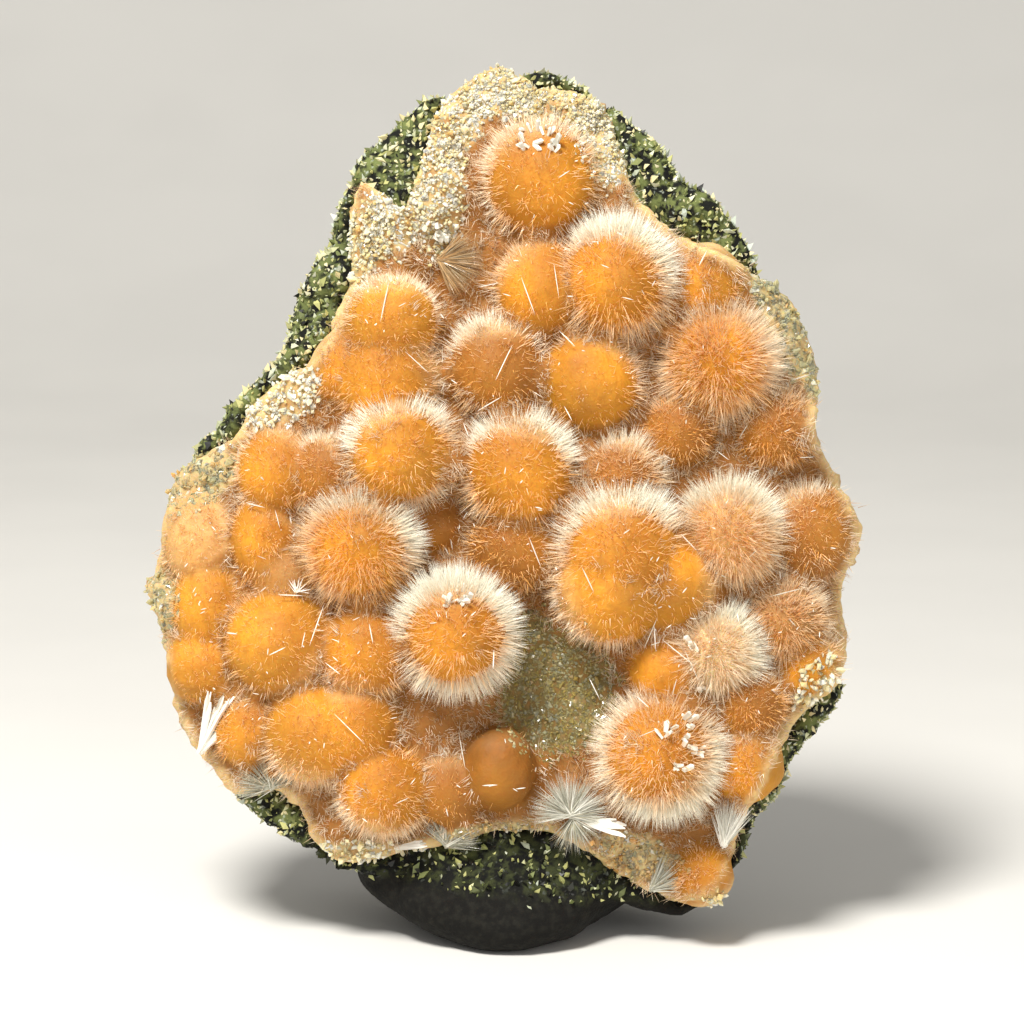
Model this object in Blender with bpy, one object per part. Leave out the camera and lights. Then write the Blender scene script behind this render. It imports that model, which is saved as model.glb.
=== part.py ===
"""A thomsonite specimen: balls of thomsonite, grown together as one crust on a basalt matrix.

Everything is laid out in face coordinates, in millimetres: x to the right, v up the face and w out of
the face, towards whoever looks at the crystals. The face leans back a little, so all of it hangs under
an empty that turns it. The matrix ends below in a foot with a small flat spot: the specimen stands on it.
"""

import math
from typing import NamedTuple

import bmesh
import bpy
from mathutils import Matrix, Vector, noise

MM = 0.001

# Driving dimensions, in millimetres
FACE_MIDDLE = (0.0, 45.5)  # x and v of the point that both outlines are measured round
LEAN = math.radians(10.0)  # how far the face leans back from upright
FACE_AHEAD = 13.84  # the foot line of the face lies this far in front of the specimen's middle
SIDE_SHIFT = -0.17  # and this far to the right of it
CRUST_THICKNESS = 4.0
CRUST_OVERHANG = 2.0  # how far the crust is first made past its outline, which then trims it
CRUST_EDGE_FALL = 2.6  # the crust thins out by this much along its edge
SEAM_GAP = 0.35  # left free between the crust and the matrix
MATRIX_RIM = 4.0  # how thick the matrix still is at its edge
BARE_ROCK_RISE = 2.4  # where no crust covers it, the matrix stands this far above the seam
BLADE_WIDTH = 1.5

# How finely the solids are made
SPOKES = 76
FRONT_RINGS = (0.2, 0.4, 0.58, 0.74, 0.87, 0.95, 1.0)  # as shares of the way out to the outline
BACK_RINGS = (0.25, 0.48, 0.66, 0.8, 0.9, 0.97)
ROCK_FRONT_RINGS = (0.5, 0.76, 0.86, 0.93, 1.0)
SEAM_RINGS = (0.3, 0.6, 0.82, 1.0)
CRUST_TRIANGLES = 3600  # what the balls keep before their crystals are added and their back is cut
MATRIX_TRIANGLES = 1700
SAME_POINT = 0.0001  # points closer than this, in millimetres, are one

# Where the crust ends, clockwise from the top as the viewer sees it: (x, v)
CRUST_OUTLINE = [
    (-0.3, 89.3), (1.5, 88.5), (3.0, 87.1), (6.0, 86.7), (9.9, 85.7), (11.4, 83.5), (12.5, 77.5),
    (14.0, 75.0), (18.0, 71.7), (25.3, 68.2), (30.0, 64.5), (31.1, 60.5), (32.2, 57.7), (31.3, 54.0),
    (31.7, 51.5), (34.5, 46.7), (36.3, 42.3), (35.0, 37.5), (33.8, 36.0), (35.1, 31.5), (34.6, 27.6),
    (31.5, 25.2), (27.8, 21.0), (26.5, 17.5), (24.5, 14.0), (23.3, 10.0), (22.8, 8.0), (19.6, 4.3),
    (15.0, 6.0), (10.0, 9.5), (6.0, 12.0), (1.5, 12.7), (-4.0, 11.5), (-7.0, 10.4), (-9.0, 10.7),
    (-10.5, 9.7), (-16.0, 9.0), (-19.8, 11.8), (-20.2, 15.5), (-22.5, 16.5), (-23.8, 14.0),
    (-28.5, 16.0), (-28.4, 17.6), (-32.8, 23.0), (-33.2, 27.5), (-34.8, 34.0), (-36.3, 37.5),
    (-34.9, 38.2), (-33.7, 44.5), (-33.2, 48.0), (-30.5, 50.3), (-26.6, 50.6), (-25.8, 54.0),
    (-21.5, 57.7), (-17.5, 60.0), (-16.0, 65.0), (-13.9, 69.0), (-15.2, 72.4), (-14.9, 75.6),
    (-13.9, 78.6), (-11.5, 77.4), (-10.0, 74.3), (-8.2, 75.5), (-8.0, 82.0), (-5.5, 85.9), (-3.0, 88.0),
]

# Where the matrix ends: past the crust where bare rock shows, and a little inside it elsewhere
MATRIX_OUTLINE = [
    (-0.3, 88.2), (2.0, 88.9), (5.2, 88.8), (7.5, 87.7), (10.0, 85.6), (12.5, 83.9), (15.7, 81.5),
    (16.4, 79.0), (17.8, 76.7), (20.0, 76.4), (23.5, 72.5), (25.2, 69.5), (26.8, 66.0), (29.2, 63.6),
    (30.8, 57.5), (30.4, 52.0), (33.3, 46.5), (35.0, 42.3), (32.7, 35.8), (34.3, 30.5), (34.4, 26.3),
    (32.2, 22.9), (28.8, 19.4), (27.8, 17.0), (25.0, 12.5), (23.4, 7.9), (20.2, 4.3), (18.0, 3.5),
    (13.5, 4.3), (8.5, 6.7), (4.5, 7.7), (1.2, 10.3), (-1.0, 10.5), (-4.0, 8.0), (-6.8, 7.6),
    (-11.5, 8.4), (-16.0, 8.4), (-19.6, 11.0), (-22.5, 12.8), (-27.8, 16.6), (-31.8, 23.0),
    (-32.4, 28.0), (-34.0, 34.0), (-33.9, 39.0), (-32.6, 47.5), (-30.8, 50.4), (-28.3, 52.4),
    (-26.6, 55.0), (-24.8, 56.6), (-24.6, 58.3), (-22.0, 58.0), (-20.9, 62.5), (-18.5, 68.7),
    (-16.0, 71.6), (-15.9, 74.9), (-13.9, 78.9), (-10.0, 82.8), (-8.6, 85.1), (-5.2, 87.2), (-3.6, 86.6),
]


class Ball(NamedTuple):
    """A ball of thomsonite, measured over the tips of its needles."""

    name: str
    x: float
    v: float
    radius: float
    lift: float  # of its centre above the crust around it
    stretch: float = 1.0  # its height over its width


BALLS = [
    Ball("crown", 4.0, 77.7, 6.2, -0.4),
    Ball("right_shoulder", 11.5, 67.5, 6.7, 1.6),
    Ball("left_shoulder", 4.3, 66.8, 5.4, -0.2),
    Ball("cap", -10.8, 63.3, 5.1, 0.6),
    Ball("cheek", -11.4, 57.6, 6.1, -0.6),
    Ball("cheek_flank", -15.5, 58.8, 4.2, -0.8),
    Ball("upper_middle", -0.3, 58.7, 5.7, -0.2),
    Ball("upper_inner", 9.0, 57.5, 5.6, -0.4),
    Ball("right_brush", 21.8, 59.3, 7.0, -0.4),
    Ball("right_ridge", 20.5, 67.2, 5.0, -1.2),
    Ball("brown_bead", 18.0, 52.5, 4.6, -1.0),
    Ball("half_hidden", 12.2, 47.8, 5.1, -0.4),
    Ball("left_star", -10.0, 50.3, 6.2, 1.6),
    Ball("centre", 1.8, 48.5, 6.4, 1.0),
    Ball("left_heart", -14.0, 40.8, 6.4, 1.0),
    Ball("bright_star", -4.5, 32.3, 6.7, 2.6),
    Ball("big_twin", 12.0, 40.3, 7.2, 1.4),
    Ball("big_twin_lower", 11.2, 36.8, 6.4, 1.4),
    Ball("big_twin_right", 16.6, 37.4, 5.6, 0.6),
    Ball("pale_fleece", 22.8, 42.0, 6.4, -0.2),
    Ball("right_edge", 30.8, 42.2, 5.6, -0.8),
    Ball("grey_fleece", 28.3, 33.5, 5.2, -0.8),
    Ball("right_corner", 31.0, 28.9, 4.1, -0.6),
    Ball("pale_bead", 21.4, 30.2, 5.8, 0.0),
    Ball("inner_bead", 17.0, 28.6, 4.9, -0.6),
    Ball("lower_star", 16.0, 20.1, 6.9, 1.4),
    Ball("lower_right_edge", 24.6, 19.0, 4.6, -0.8),
    Ball("lower_fleece", 24.6, 25.0, 4.6, -0.8),
    Ball("bare_bead", 0.0, 18.6, 3.7, 0.6, 1.15),
    Ball("lower_left", -11.7, 16.5, 5.4, -0.2),
    Ball("left_bright", -18.6, 22.0, 5.6, -0.4),
    Ball("under_star", -13.2, 30.4, 5.6, -0.6),
    Ball("left_round", -22.2, 31.2, 5.8, -0.2),
    Ball("low_bead", -5.4, 16.4, 4.2, -0.8),
    Ball("between_left", -14.6, 22.8, 5.0, -0.6),
    Ball("left_rib", -23.4, 41.6, 3.9, -0.6, 1.5),
    Ball("left_upper", -22.2, 48.4, 4.9, -0.6),
    Ball("left_inner", -17.6, 48.2, 4.6, -0.4),
    Ball("far_left_upper", -30.2, 41.6, 4.4, -0.8, 1.25),
    Ball("far_left_middle", -29.4, 34.9, 4.2, -0.6, 1.2),
    Ball("far_left_lower", -30.0, 28.7, 4.2, -0.6),
    Ball("dark_middle", 1.4, 40.8, 5.4, -1.2),
    Ball("under_left_star", -6.6, 43.0, 4.4, -1.6),
    Ball("bottom_corner", 20.2, 7.8, 3.7, -0.4),
    Ball("right_low", 27.4, 52.6, 5.0, -1.4),
    Ball("lower_left_edge", -25.2, 22.4, 4.2, -0.8),
    Ball("below_hollow", 8.6, 14.8, 4.0, -1.4),
    Ball("left_pocket", -21.6, 38.2, 4.2, -1.4),
]


class Hollow(NamedTuple):
    """A soft dip in the crust and in the rock behind it."""

    x: float
    v: float
    radius: float
    depth: float


HOLLOWS = [
    Hollow(5.6, 26.8, 6.8, 4.4),  # the druse-lined hollow below the middle
    Hollow(-3.2, 69.0, 4.6, 3.2),  # beside the fan, under the crown
    Hollow(-5.8, 42.6, 3.0, 1.6),
    Hollow(16.4, 56.6, 3.0, 1.4),
]


class Spray(NamedTuple):
    """A fan of blades that spread from one root."""

    x: float
    v: float
    aim_deg: float  # the middle of the fan, from +x towards +v
    spread_deg: float
    length: float
    blades: int


SPRAYS = [
    Spray(-28.8, 20.8, 62.0, 44.0, 7.8, 6),  # the white spray at the lower left
    Spray(7.0, 13.8, 10.0, 150.0, 6.2, 8),  # the broken rosette above the lower edge
    Spray(-7.0, 69.4, -4.0, 70.0, 6.4, 6),  # the fan beside the cap
    Spray(-23.4, 16.6, 110.0, 120.0, 4.4, 5),  # the rosette beside the notch
    Spray(15.2, 6.6, 38.0, 60.0, 5.4, 5),  # the fan at the bottom corner
    Spray(22.2, 11.4, 75.0, 44.0, 5.4, 4),
    Spray(-6.0, 11.4, 60.0, 120.0, 4.4, 5),
]


class Rim(NamedTuple):
    """A stretch of the crust set with coarse blocky crystals."""

    start: tuple
    end: tuple
    count: int
    size: float


RIMS = [
    Rim((-2.6, 87.0), (9.6, 83.4), 5, 4.2),
    Rim((-12.6, 76.0), (-10.2, 68.6), 3, 4.4),
    Rim((-6.0, 83.4), (-6.8, 73.0), 4, 3.8),
    Rim((-24.6, 53.4), (-18.4, 57.0), 3, 3.9),
    Rim((-31.8, 48.2), (-27.2, 48.6), 2, 3.4),
    Rim((-34.4, 37.0), (-33.2, 33.0), 2, 3.0),
    Rim((25.4, 66.4), (30.2, 60.0), 3, 4.2),
    Rim((-18.2, 12.0), (-11.0, 11.2), 3, 3.4),
    Rim((1.6, 27.6), (9.6, 30.2), 4, 3.0),
    Rim((2.2, 24.2), (9.2, 24.8), 3, 2.8),
]


class Fracture(NamedTuple):
    """A plane that the back of the matrix broke along: w is depth at (x, v) and rises by the slopes."""

    x: float
    v: float
    depth: float
    slope_x: float
    slope_v: float


FRACTURES = [
    Fracture(0.0, 34.0, -23.8, 0.05, 0.06),
    Fracture(2.0, 58.0, -21.6, -0.08, 0.21),
    Fracture(-21.0, 38.0, -22.8, -1.10, 0.10),
    Fracture(19.0, 44.0, -22.0, 0.84, -0.12),
    Fracture(4.0, 73.0, -18.2, 0.12, 0.80),
    Fracture(-12.0, 65.0, -19.8, -0.86, 0.42),
    Fracture(-17.0, 18.0, -22.6, -0.62, -0.58),
    Fracture(16.0, 16.0, -22.4, 0.78, -0.50),
    Fracture(19.0, 64.0, -17.4, 0.95, 0.30),
]

# The foot, as level rings seen from above, from the flat spot upwards:
# height, left and right ends in x, front and back ends in y from the specimen's middle
FOOT_RINGS = [
    (-0.6, -3.8, 4.6, -11.0, 10.2),
    (0.0, -5.4, 6.2, -12.6, 11.8),
    (0.6, -8.2, 8.6, -13.6, 12.8),
    (1.6, -10.7, 11.0, -14.2, 13.6),
    (3.0, -13.0, 12.8, -14.6, 14.2),
    (5.0, -15.1, 14.2, -13.8, 14.6),
    (7.4, -16.6, 15.0, -11.8, 14.4),
    (10.0, -17.4, 15.2, -8.8, 13.8),
    (18.0, -14.2, 12.8, -4.8, 10.8),
]
FOOT_SPOKES = 32
FOOT_GRAIN = 0.09  # how far its surface wanders, as a share of its radius


def ramp(value, start, full):
    """0 up to start, rising to 1 at full and going on past it."""
    return max(0.0, (value - start) / (full - start))


def radius_at(outline):
    """The outline's distance from FACE_MIDDLE as a function of the angle."""
    spokes = [Vector(point) - Vector(FACE_MIDDLE) for point in outline]
    points = sorted((math.atan2(spoke.y, spoke.x), spoke.length) for spoke in spokes)
    last_angle, last_radius = points[-1]
    first_angle, first_radius = points[0]
    ring = [(last_angle - math.tau, last_radius), *points, (first_angle + math.tau, first_radius)]

    def radius(angle):
        angle = math.atan2(math.sin(angle), math.cos(angle))
        for (a0, r0), (a1, r1) in zip(ring, ring[1:]):
            if a0 <= angle <= a1:
                share = (angle - a0) / max(a1 - a0, 1e-9)
                return r0 + (r1 - r0) * share
        return first_radius

    return radius


crust_radius = radius_at(CRUST_OUTLINE)
matrix_radius = radius_at(MATRIX_OUTLINE)


def crust_height(x, v):
    """w of the crust between the balls: a shallow dome that falls away on all sides, less the hollows."""
    fall = 7.5 * ramp(-x, 17.0, 36.0) ** 1.5 + 5.0 * ramp(x, 24.0, 36.0) ** 1.5
    fall += 3.0 * ramp(v, 76.0, 89.0) ** 1.4 + 2.2 * ramp(-v, -20.0, -6.0)
    dips = sum(h.depth * math.exp(-((x - h.x) ** 2 + (v - h.v) ** 2) / h.radius**2) for h in HOLLOWS)
    return -fall - dips


def seam_height(x, v):
    """w of the seam between the crust and the matrix."""
    return crust_height(x, v) - CRUST_THICKNESS


def wander(x, v, size, reach, seed):
    """Smooth ups and downs of up to about reach, with hills about size across."""
    return reach * noise.fractal(Vector((x / size, v / size, seed)), 1.0, 2.0, 3)


def crust_front(x, v, inwards):
    """w of the crust's own surface. inwards is 1 in its middle and 0 along its edge."""
    edge = max(0.0, 1.0 - inwards / 0.16)
    return crust_height(x, v) - CRUST_EDGE_FALL * edge**1.6 + wander(x, v, 4.0, 0.45, 1.3)


def matrix_front(x, v, inwards):
    return seam_height(x, v) + BARE_ROCK_RISE + wander(x, v, 4.0, 1.3, 2.6)


def matrix_back(x, v, inwards):
    """w of the broken back of the matrix: the foremost of its fractures, but behind its rim."""
    broken = max(f.depth + f.slope_x * (x - f.x) + f.slope_v * (v - f.v) for f in FRACTURES)
    return min(broken, seam_height(x, v) - MATRIX_RIM) - wander(x, v, 9.0, 1.2, 7.7)


def new_object(name, bm, under=None, smooth=False):
    mesh = bpy.data.meshes.new(name)
    bmesh.ops.recalc_face_normals(bm, faces=bm.faces)
    bmesh.ops.triangulate(bm, faces=bm.faces)
    bm.to_mesh(mesh)
    bm.free()
    if smooth:
        mesh.shade_smooth()
    obj = bpy.data.objects.new(name, mesh)
    bpy.context.scene.collection.objects.link(obj)
    obj.parent = under
    return obj


def helper(obj):
    """Marks an object that only cuts or joins: it isn't a piece of the specimen."""
    obj.hide_render = True
    obj.display_type = "WIRE"
    return obj


def face_slab(name, radius, front, back, front_rings, back_rings, under):
    """A solid between two height functions of (x, v, inwards), out to radius(angle)."""
    bm = bmesh.new()
    angles = [math.tau * i / SPOKES for i in range(SPOKES)]

    def loop(share, height):
        made = []
        for angle in angles:
            x = FACE_MIDDLE[0] + share * radius(angle) * math.cos(angle)
            v = FACE_MIDDLE[1] + share * radius(angle) * math.sin(angle)
            made.append(bm.verts.new(Vector((x, -height(x, v, 1.0 - share**2), v)) * MM))
        return made

    def side(shares, height):
        x, v = FACE_MIDDLE
        tip = bm.verts.new(Vector((x, -height(x, v, 1.0), v)) * MM)
        loops = [loop(share, height) for share in shares]
        for i in range(SPOKES):
            bm.faces.new((tip, loops[0][i], loops[0][(i + 1) % SPOKES]))
        for inner, outer in zip(loops, loops[1:]):
            bridge(inner, outer)
        return loops[-1]

    def bridge(inner, outer):
        for i in range(SPOKES):
            j = (i + 1) % SPOKES
            bm.faces.new((inner[i], outer[i], outer[j], inner[j]))

    bridge(side(front_rings, front), side(back_rings, back))
    return new_object(name, bm, under, smooth=True)


def into(group, obj):
    """Moves a helper into the collection that a Boolean joins."""
    group.objects.link(obj)
    bpy.context.scene.collection.objects.unlink(obj)


def on_crust(x, v, lift):
    """The place that is so far above the crust's height at (x, v)."""
    return Vector((x, -(crust_height(x, v) + lift), v)) * MM


def add_ball(ball, group, under):
    """One ball, a little uneven as such balls are."""
    bm = bmesh.new()
    bmesh.ops.create_icosphere(bm, subdivisions=3, radius=1.0)
    for vert in bm.verts:
        uneven = 1.0 + 0.045 * noise.noise(vert.co * 1.6 + Vector((ball.x, ball.v, 0.0)))
        vert.co *= ball.radius * uneven * MM
        vert.co.z *= ball.stretch
    obj = helper(new_object("ball_" + ball.name, bm, under, smooth=True))
    obj.location = on_crust(ball.x, ball.v, ball.lift)
    into(group, obj)


def add_spray(number, spray, group, under):
    """Tapered four-sided blades that rise from one root, in turn a little lower and higher."""
    for i in range(spray.blades):
        share = i / (spray.blades - 1) - 0.5
        aim = math.radians(spray.aim_deg + share * spray.spread_deg)
        lift = math.radians(14.0 + 20.0 * (i % 2))
        length = spray.length * (1.0 - 0.5 * share**2) * (0.92 + 0.11 * ((i * 2) % 3))
        bm = bmesh.new()
        bmesh.ops.create_cone(
            bm,
            cap_ends=True,
            segments=4,
            radius1=BLADE_WIDTH * 0.4 * MM,
            radius2=BLADE_WIDTH * 0.6 * MM,
            depth=length * MM,
        )
        bmesh.ops.translate(bm, verts=bm.verts, vec=(0.0, 0.0, length * 0.5 * MM))
        obj = helper(new_object(f"blade_{number}_{i}", bm, under))
        direction = Vector((math.cos(aim) * math.cos(lift), -math.sin(lift), math.sin(aim) * math.cos(lift)))
        obj.rotation_mode = "QUATERNION"
        obj.rotation_quaternion = direction.to_track_quat("Z", "Y")
        obj.location = on_crust(spray.x, spray.v, -0.6)
        into(group, obj)


def add_rim(number, rim, group, under):
    """A row of blocky crystals, each turned its own way."""
    for i in range(rim.count):
        share = (i + 0.5) / rim.count
        x = rim.start[0] + (rim.end[0] - rim.start[0]) * share
        v = rim.start[1] + (rim.end[1] - rim.start[1]) * share
        bm = bmesh.new()
        bmesh.ops.create_cube(bm, size=rim.size * (0.8 + 0.5 * noise.noise(Vector((x, v, 1.0)))) * MM)
        turn = Matrix.Rotation(x * 1.7 + v, 3, "X") @ Matrix.Rotation(v * 2.3 - x, 3, "Z")
        bmesh.ops.rotate(bm, verts=bm.verts, cent=(0.0, 0.0, 0.0), matrix=turn)
        obj = helper(new_object(f"block_{number}_{i}", bm, under))
        obj.location = on_crust(x, v, -0.4)
        into(group, obj)


def foot_lump():
    """The lower end of the matrix: a rounded lump whose underside reaches below the level of the cut."""
    bm = bmesh.new()
    loops = []
    for height, left, right, front, back in FOOT_RINGS:
        loop = []
        for i in range(FOOT_SPOKES):
            angle = math.tau * i / FOOT_SPOKES
            x = (left + right) / 2 + (right - left) / 2 * math.cos(angle)
            y = (front + back) / 2 + (back - front) / 2 * math.sin(angle)
            uneven = 1.0 + FOOT_GRAIN * noise.noise(Vector((x, y, height)) * 0.21)
            loop.append(bm.verts.new(Vector((x * uneven, y * uneven, height)) * MM))
        loops.append(loop)
    for low, high in zip(loops, loops[1:]):
        for i in range(FOOT_SPOKES):
            j = (i + 1) % FOOT_SPOKES
            bm.faces.new((low[i], low[j], high[j], high[i]))
    bm.faces.new(list(reversed(loops[0])))
    bm.faces.new(loops[-1])
    return helper(new_object("foot_lump", bm, smooth=True))


def floor_cutter():
    """Everything below the surface that the specimen stands on."""
    bm = bmesh.new()
    bmesh.ops.create_cube(bm, size=0.2)
    obj = helper(new_object("floor_cutter", bm))
    obj.location.z = -0.1
    return obj


def boolean(obj, operation, other):
    modifier = obj.modifiers.new(operation.title(), "BOOLEAN")
    modifier.operation = operation
    modifier.solver = "EXACT"
    if isinstance(other, bpy.types.Collection):
        modifier.operand_type = "COLLECTION"
        modifier.collection = other
    else:
        modifier.object = other


def settle(obj):
    """Applies the modifiers, and leaves one skin of triangles: pockets closed in between balls are filled."""
    evaluated = obj.evaluated_get(bpy.context.evaluated_depsgraph_get())
    mesh = bpy.data.meshes.new_from_object(evaluated)
    obj.modifiers.clear()
    bm = bmesh.new()
    bm.from_mesh(mesh)
    bmesh.ops.remove_doubles(bm, verts=bm.verts, dist=SAME_POINT * MM)
    bmesh.ops.triangulate(bm, faces=bm.faces)
    skins = sorted(connected_skins(bm), key=len)
    pockets = [vert for skin in skins[:-1] for vert in skin]
    bmesh.ops.delete(bm, geom=pockets, context="VERTS")
    bm.to_mesh(mesh)
    bm.free()
    obj.data = mesh


def connected_skins(bm):
    """The vertices of each skin that hangs together."""
    skins = []
    left = set(bm.verts)
    while left:
        skin = []
        reached = [left.pop()]
        while reached:
            vert = reached.pop()
            skin.append(vert)
            near = {edge.other_vert(vert) for edge in vert.link_edges} & left
            left -= near
            reached.extend(near)
        skins.append(skin)
    return skins


def thin_out(obj, triangles):
    """Takes the least needed edges away until about so many triangles are left."""
    modifier = obj.modifiers.new("Fewer", "DECIMATE")
    modifier.ratio = min(1.0, triangles / len(obj.data.polygons))
    settle(obj)


def principled(name, colour, roughness):
    material = bpy.data.materials.new(name)
    material.use_nodes = True
    shader = material.node_tree.nodes["Principled BSDF"]
    shader.inputs["Base Color"].default_value = (*colour, 1.0)
    shader.inputs["Roughness"].default_value = roughness
    shader.inputs["Metallic"].default_value = 0.0
    material.diffuse_color = (*colour, 1.0)
    return material


def finish(obj, material):
    """Gives a finished piece its material and its shading: round where it is round, crisp where it breaks."""
    obj.data.name = obj.name
    obj.data.materials.clear()
    obj.data.materials.append(material)
    obj.data.shade_smooth()
    obj.data.set_sharp_from_angle(angle=math.radians(38.0))


def crust_envelope(name, grow, under):
    """All the space in front of the seam and inside the crust's outline, grown by so much."""
    return helper(
        face_slab(
            name,
            lambda angle: crust_radius(angle) + grow,
            lambda x, v, inwards: 25.0,
            lambda x, v, inwards: seam_height(x, v) - grow,
            (1.0,),
            SEAM_RINGS,
            under,
        )
    )


def gathered(name):
    """A collection for helpers that a Boolean joins."""
    group = bpy.data.collections.new(name)
    bpy.context.scene.collection.children.link(group)
    return group


def make_crust(under):
    """The thomsonite crust: one solid of everything that grew together on the rock."""
    balls = gathered("balls")
    for ball in BALLS:
        add_ball(ball, balls, under)
    crystals = gathered("crystals")
    for number, spray in enumerate(SPRAYS):
        add_spray(number, spray, crystals, under)
    for number, rim in enumerate(RIMS):
        add_rim(number, rim, crystals, under)
    crust = face_slab(
        "thomsonite_crust",
        lambda angle: crust_radius(angle) + CRUST_OVERHANG,
        crust_front,
        lambda x, v, inwards: seam_height(x, v) - 3.0,
        FRONT_RINGS,
        (0.5, 1.0),
        under,
    )
    boolean(crust, "UNION", balls)
    settle(crust)
    thin_out(crust, CRUST_TRIANGLES)
    boolean(crust, "UNION", crystals)
    boolean(crust, "INTERSECT", crust_envelope("crust_envelope", 0.0, under))
    settle(crust)
    finish(crust, principled("thomsonite", (0.83, 0.36, 0.09), 0.5))


def make_matrix(under):
    """The basalt: a broken slab behind the crust, with the foot it stands on."""
    matrix = face_slab(
        "basalt_matrix", matrix_radius, matrix_front, matrix_back, ROCK_FRONT_RINGS, BACK_RINGS, under
    )
    boolean(matrix, "UNION", foot_lump())
    settle(matrix)
    thin_out(matrix, MATRIX_TRIANGLES)
    boolean(matrix, "DIFFERENCE", crust_envelope("seam_cutter", SEAM_GAP, under))
    boolean(matrix, "DIFFERENCE", floor_cutter())
    settle(matrix)
    finish(matrix, principled("basalt", (0.045, 0.055, 0.04), 0.85))


def clear_scene():
    for obj in list(bpy.data.objects):
        bpy.data.objects.remove(obj)


def remove_helpers():
    for obj in list(bpy.data.objects):
        if obj.hide_render:
            bpy.data.objects.remove(obj)


def main():
    clear_scene()
    face = bpy.data.objects.new("face_lean", None)
    bpy.context.scene.collection.objects.link(face)
    face.rotation_euler.x = -LEAN
    face.location = Vector((SIDE_SHIFT, -FACE_AHEAD, 0.0)) * MM
    make_crust(face)
    make_matrix(face)
    remove_helpers()


main()
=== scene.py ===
"""The looks of a thomsonite specimen: a crust of orange needle balls, grown together on broken basalt.

Places on the specimen are given in face coordinates, in millimetres: x to the right, v up the face and
w out of the face, towards whoever looks at the crystals. The face leans back by LEAN.
"""

import math
from typing import NamedTuple

import bmesh
import bpy
import numpy as np
from bpy.props import FloatProperty, FloatVectorProperty, IntProperty, PointerProperty
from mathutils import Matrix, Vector, noise
from mathutils.bvhtree import BVHTree


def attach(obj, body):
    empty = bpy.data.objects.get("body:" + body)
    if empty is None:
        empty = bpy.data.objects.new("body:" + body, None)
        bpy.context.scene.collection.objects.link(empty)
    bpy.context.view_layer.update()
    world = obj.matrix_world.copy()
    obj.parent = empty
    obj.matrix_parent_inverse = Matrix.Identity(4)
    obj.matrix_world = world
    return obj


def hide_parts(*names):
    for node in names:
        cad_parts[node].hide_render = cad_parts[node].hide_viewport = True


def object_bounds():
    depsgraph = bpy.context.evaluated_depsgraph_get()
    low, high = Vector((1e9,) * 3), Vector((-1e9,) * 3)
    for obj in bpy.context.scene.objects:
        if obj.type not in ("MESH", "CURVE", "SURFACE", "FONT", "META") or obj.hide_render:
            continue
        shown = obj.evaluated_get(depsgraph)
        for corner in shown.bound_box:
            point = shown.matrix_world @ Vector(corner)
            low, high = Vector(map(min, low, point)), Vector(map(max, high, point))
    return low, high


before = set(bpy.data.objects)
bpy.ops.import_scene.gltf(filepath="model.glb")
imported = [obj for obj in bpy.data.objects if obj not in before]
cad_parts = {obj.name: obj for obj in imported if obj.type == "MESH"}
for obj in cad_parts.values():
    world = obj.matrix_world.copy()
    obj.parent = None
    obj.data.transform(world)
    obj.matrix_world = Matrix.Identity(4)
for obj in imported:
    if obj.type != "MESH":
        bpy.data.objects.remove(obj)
CAD_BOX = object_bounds()

bl_info = {
    "name": "Thomsonite specimen",
    "version": (1, 0, 0),
    "blender": (4, 5, 0),
    "location": "3D View > Sidebar > Thomsonite",
    "description": "Dresses a thomsonite specimen: needle balls, druse and blades on broken basalt",
    "category": "Object",
}

MM = 0.001

# How the face lies in the specimen's own frame
LEAN = math.radians(10.0)
FACE_AHEAD = 13.84
SIDE_SHIFT = -0.17
FACE_MIDDLE = (0.0, 45.5)
OUTLINE_SPOKES = 76  # the crust's solid has a corner on each of so many spokes round FACE_MIDDLE
SAME_SPOKE = 0.006  # a corner lies on a spoke if it is off it by less, in radians
ABOVE_ALL = 60.0  # w of a place that is in front of every ball


class Ball(NamedTuple):
    """A ball of thomsonite, measured over the tips of its needles."""

    name: str  # only for whoever reads the list
    x: float
    v: float
    radius: float
    lift: float  # of its centre above the crust around it
    tone: str  # the colour of its core, by its name in CrustLooks
    core: float = 0.8  # the radius of the solid core, as a share of the whole
    # A ball's whitest side is partly its needles' own white and partly painted light, where light catches
    # them; its other sides are duller partly as painted shade.
    white: float = 0.35  # how white its needles are on their whitest side
    aim_deg: float = 95.0  # which side that is, from +x towards +v
    round: float = 0.35  # how white the other sides are, as a share of it
    glow_deg: float = 230.0  # the side of the core that the light shines through most
    stretch: float = 1.0  # its height over its width
    hair: float = 1.0  # how thickly its needles stand round it
    fluff: float = 0.13  # how many of them are left where they point out of the face


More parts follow.
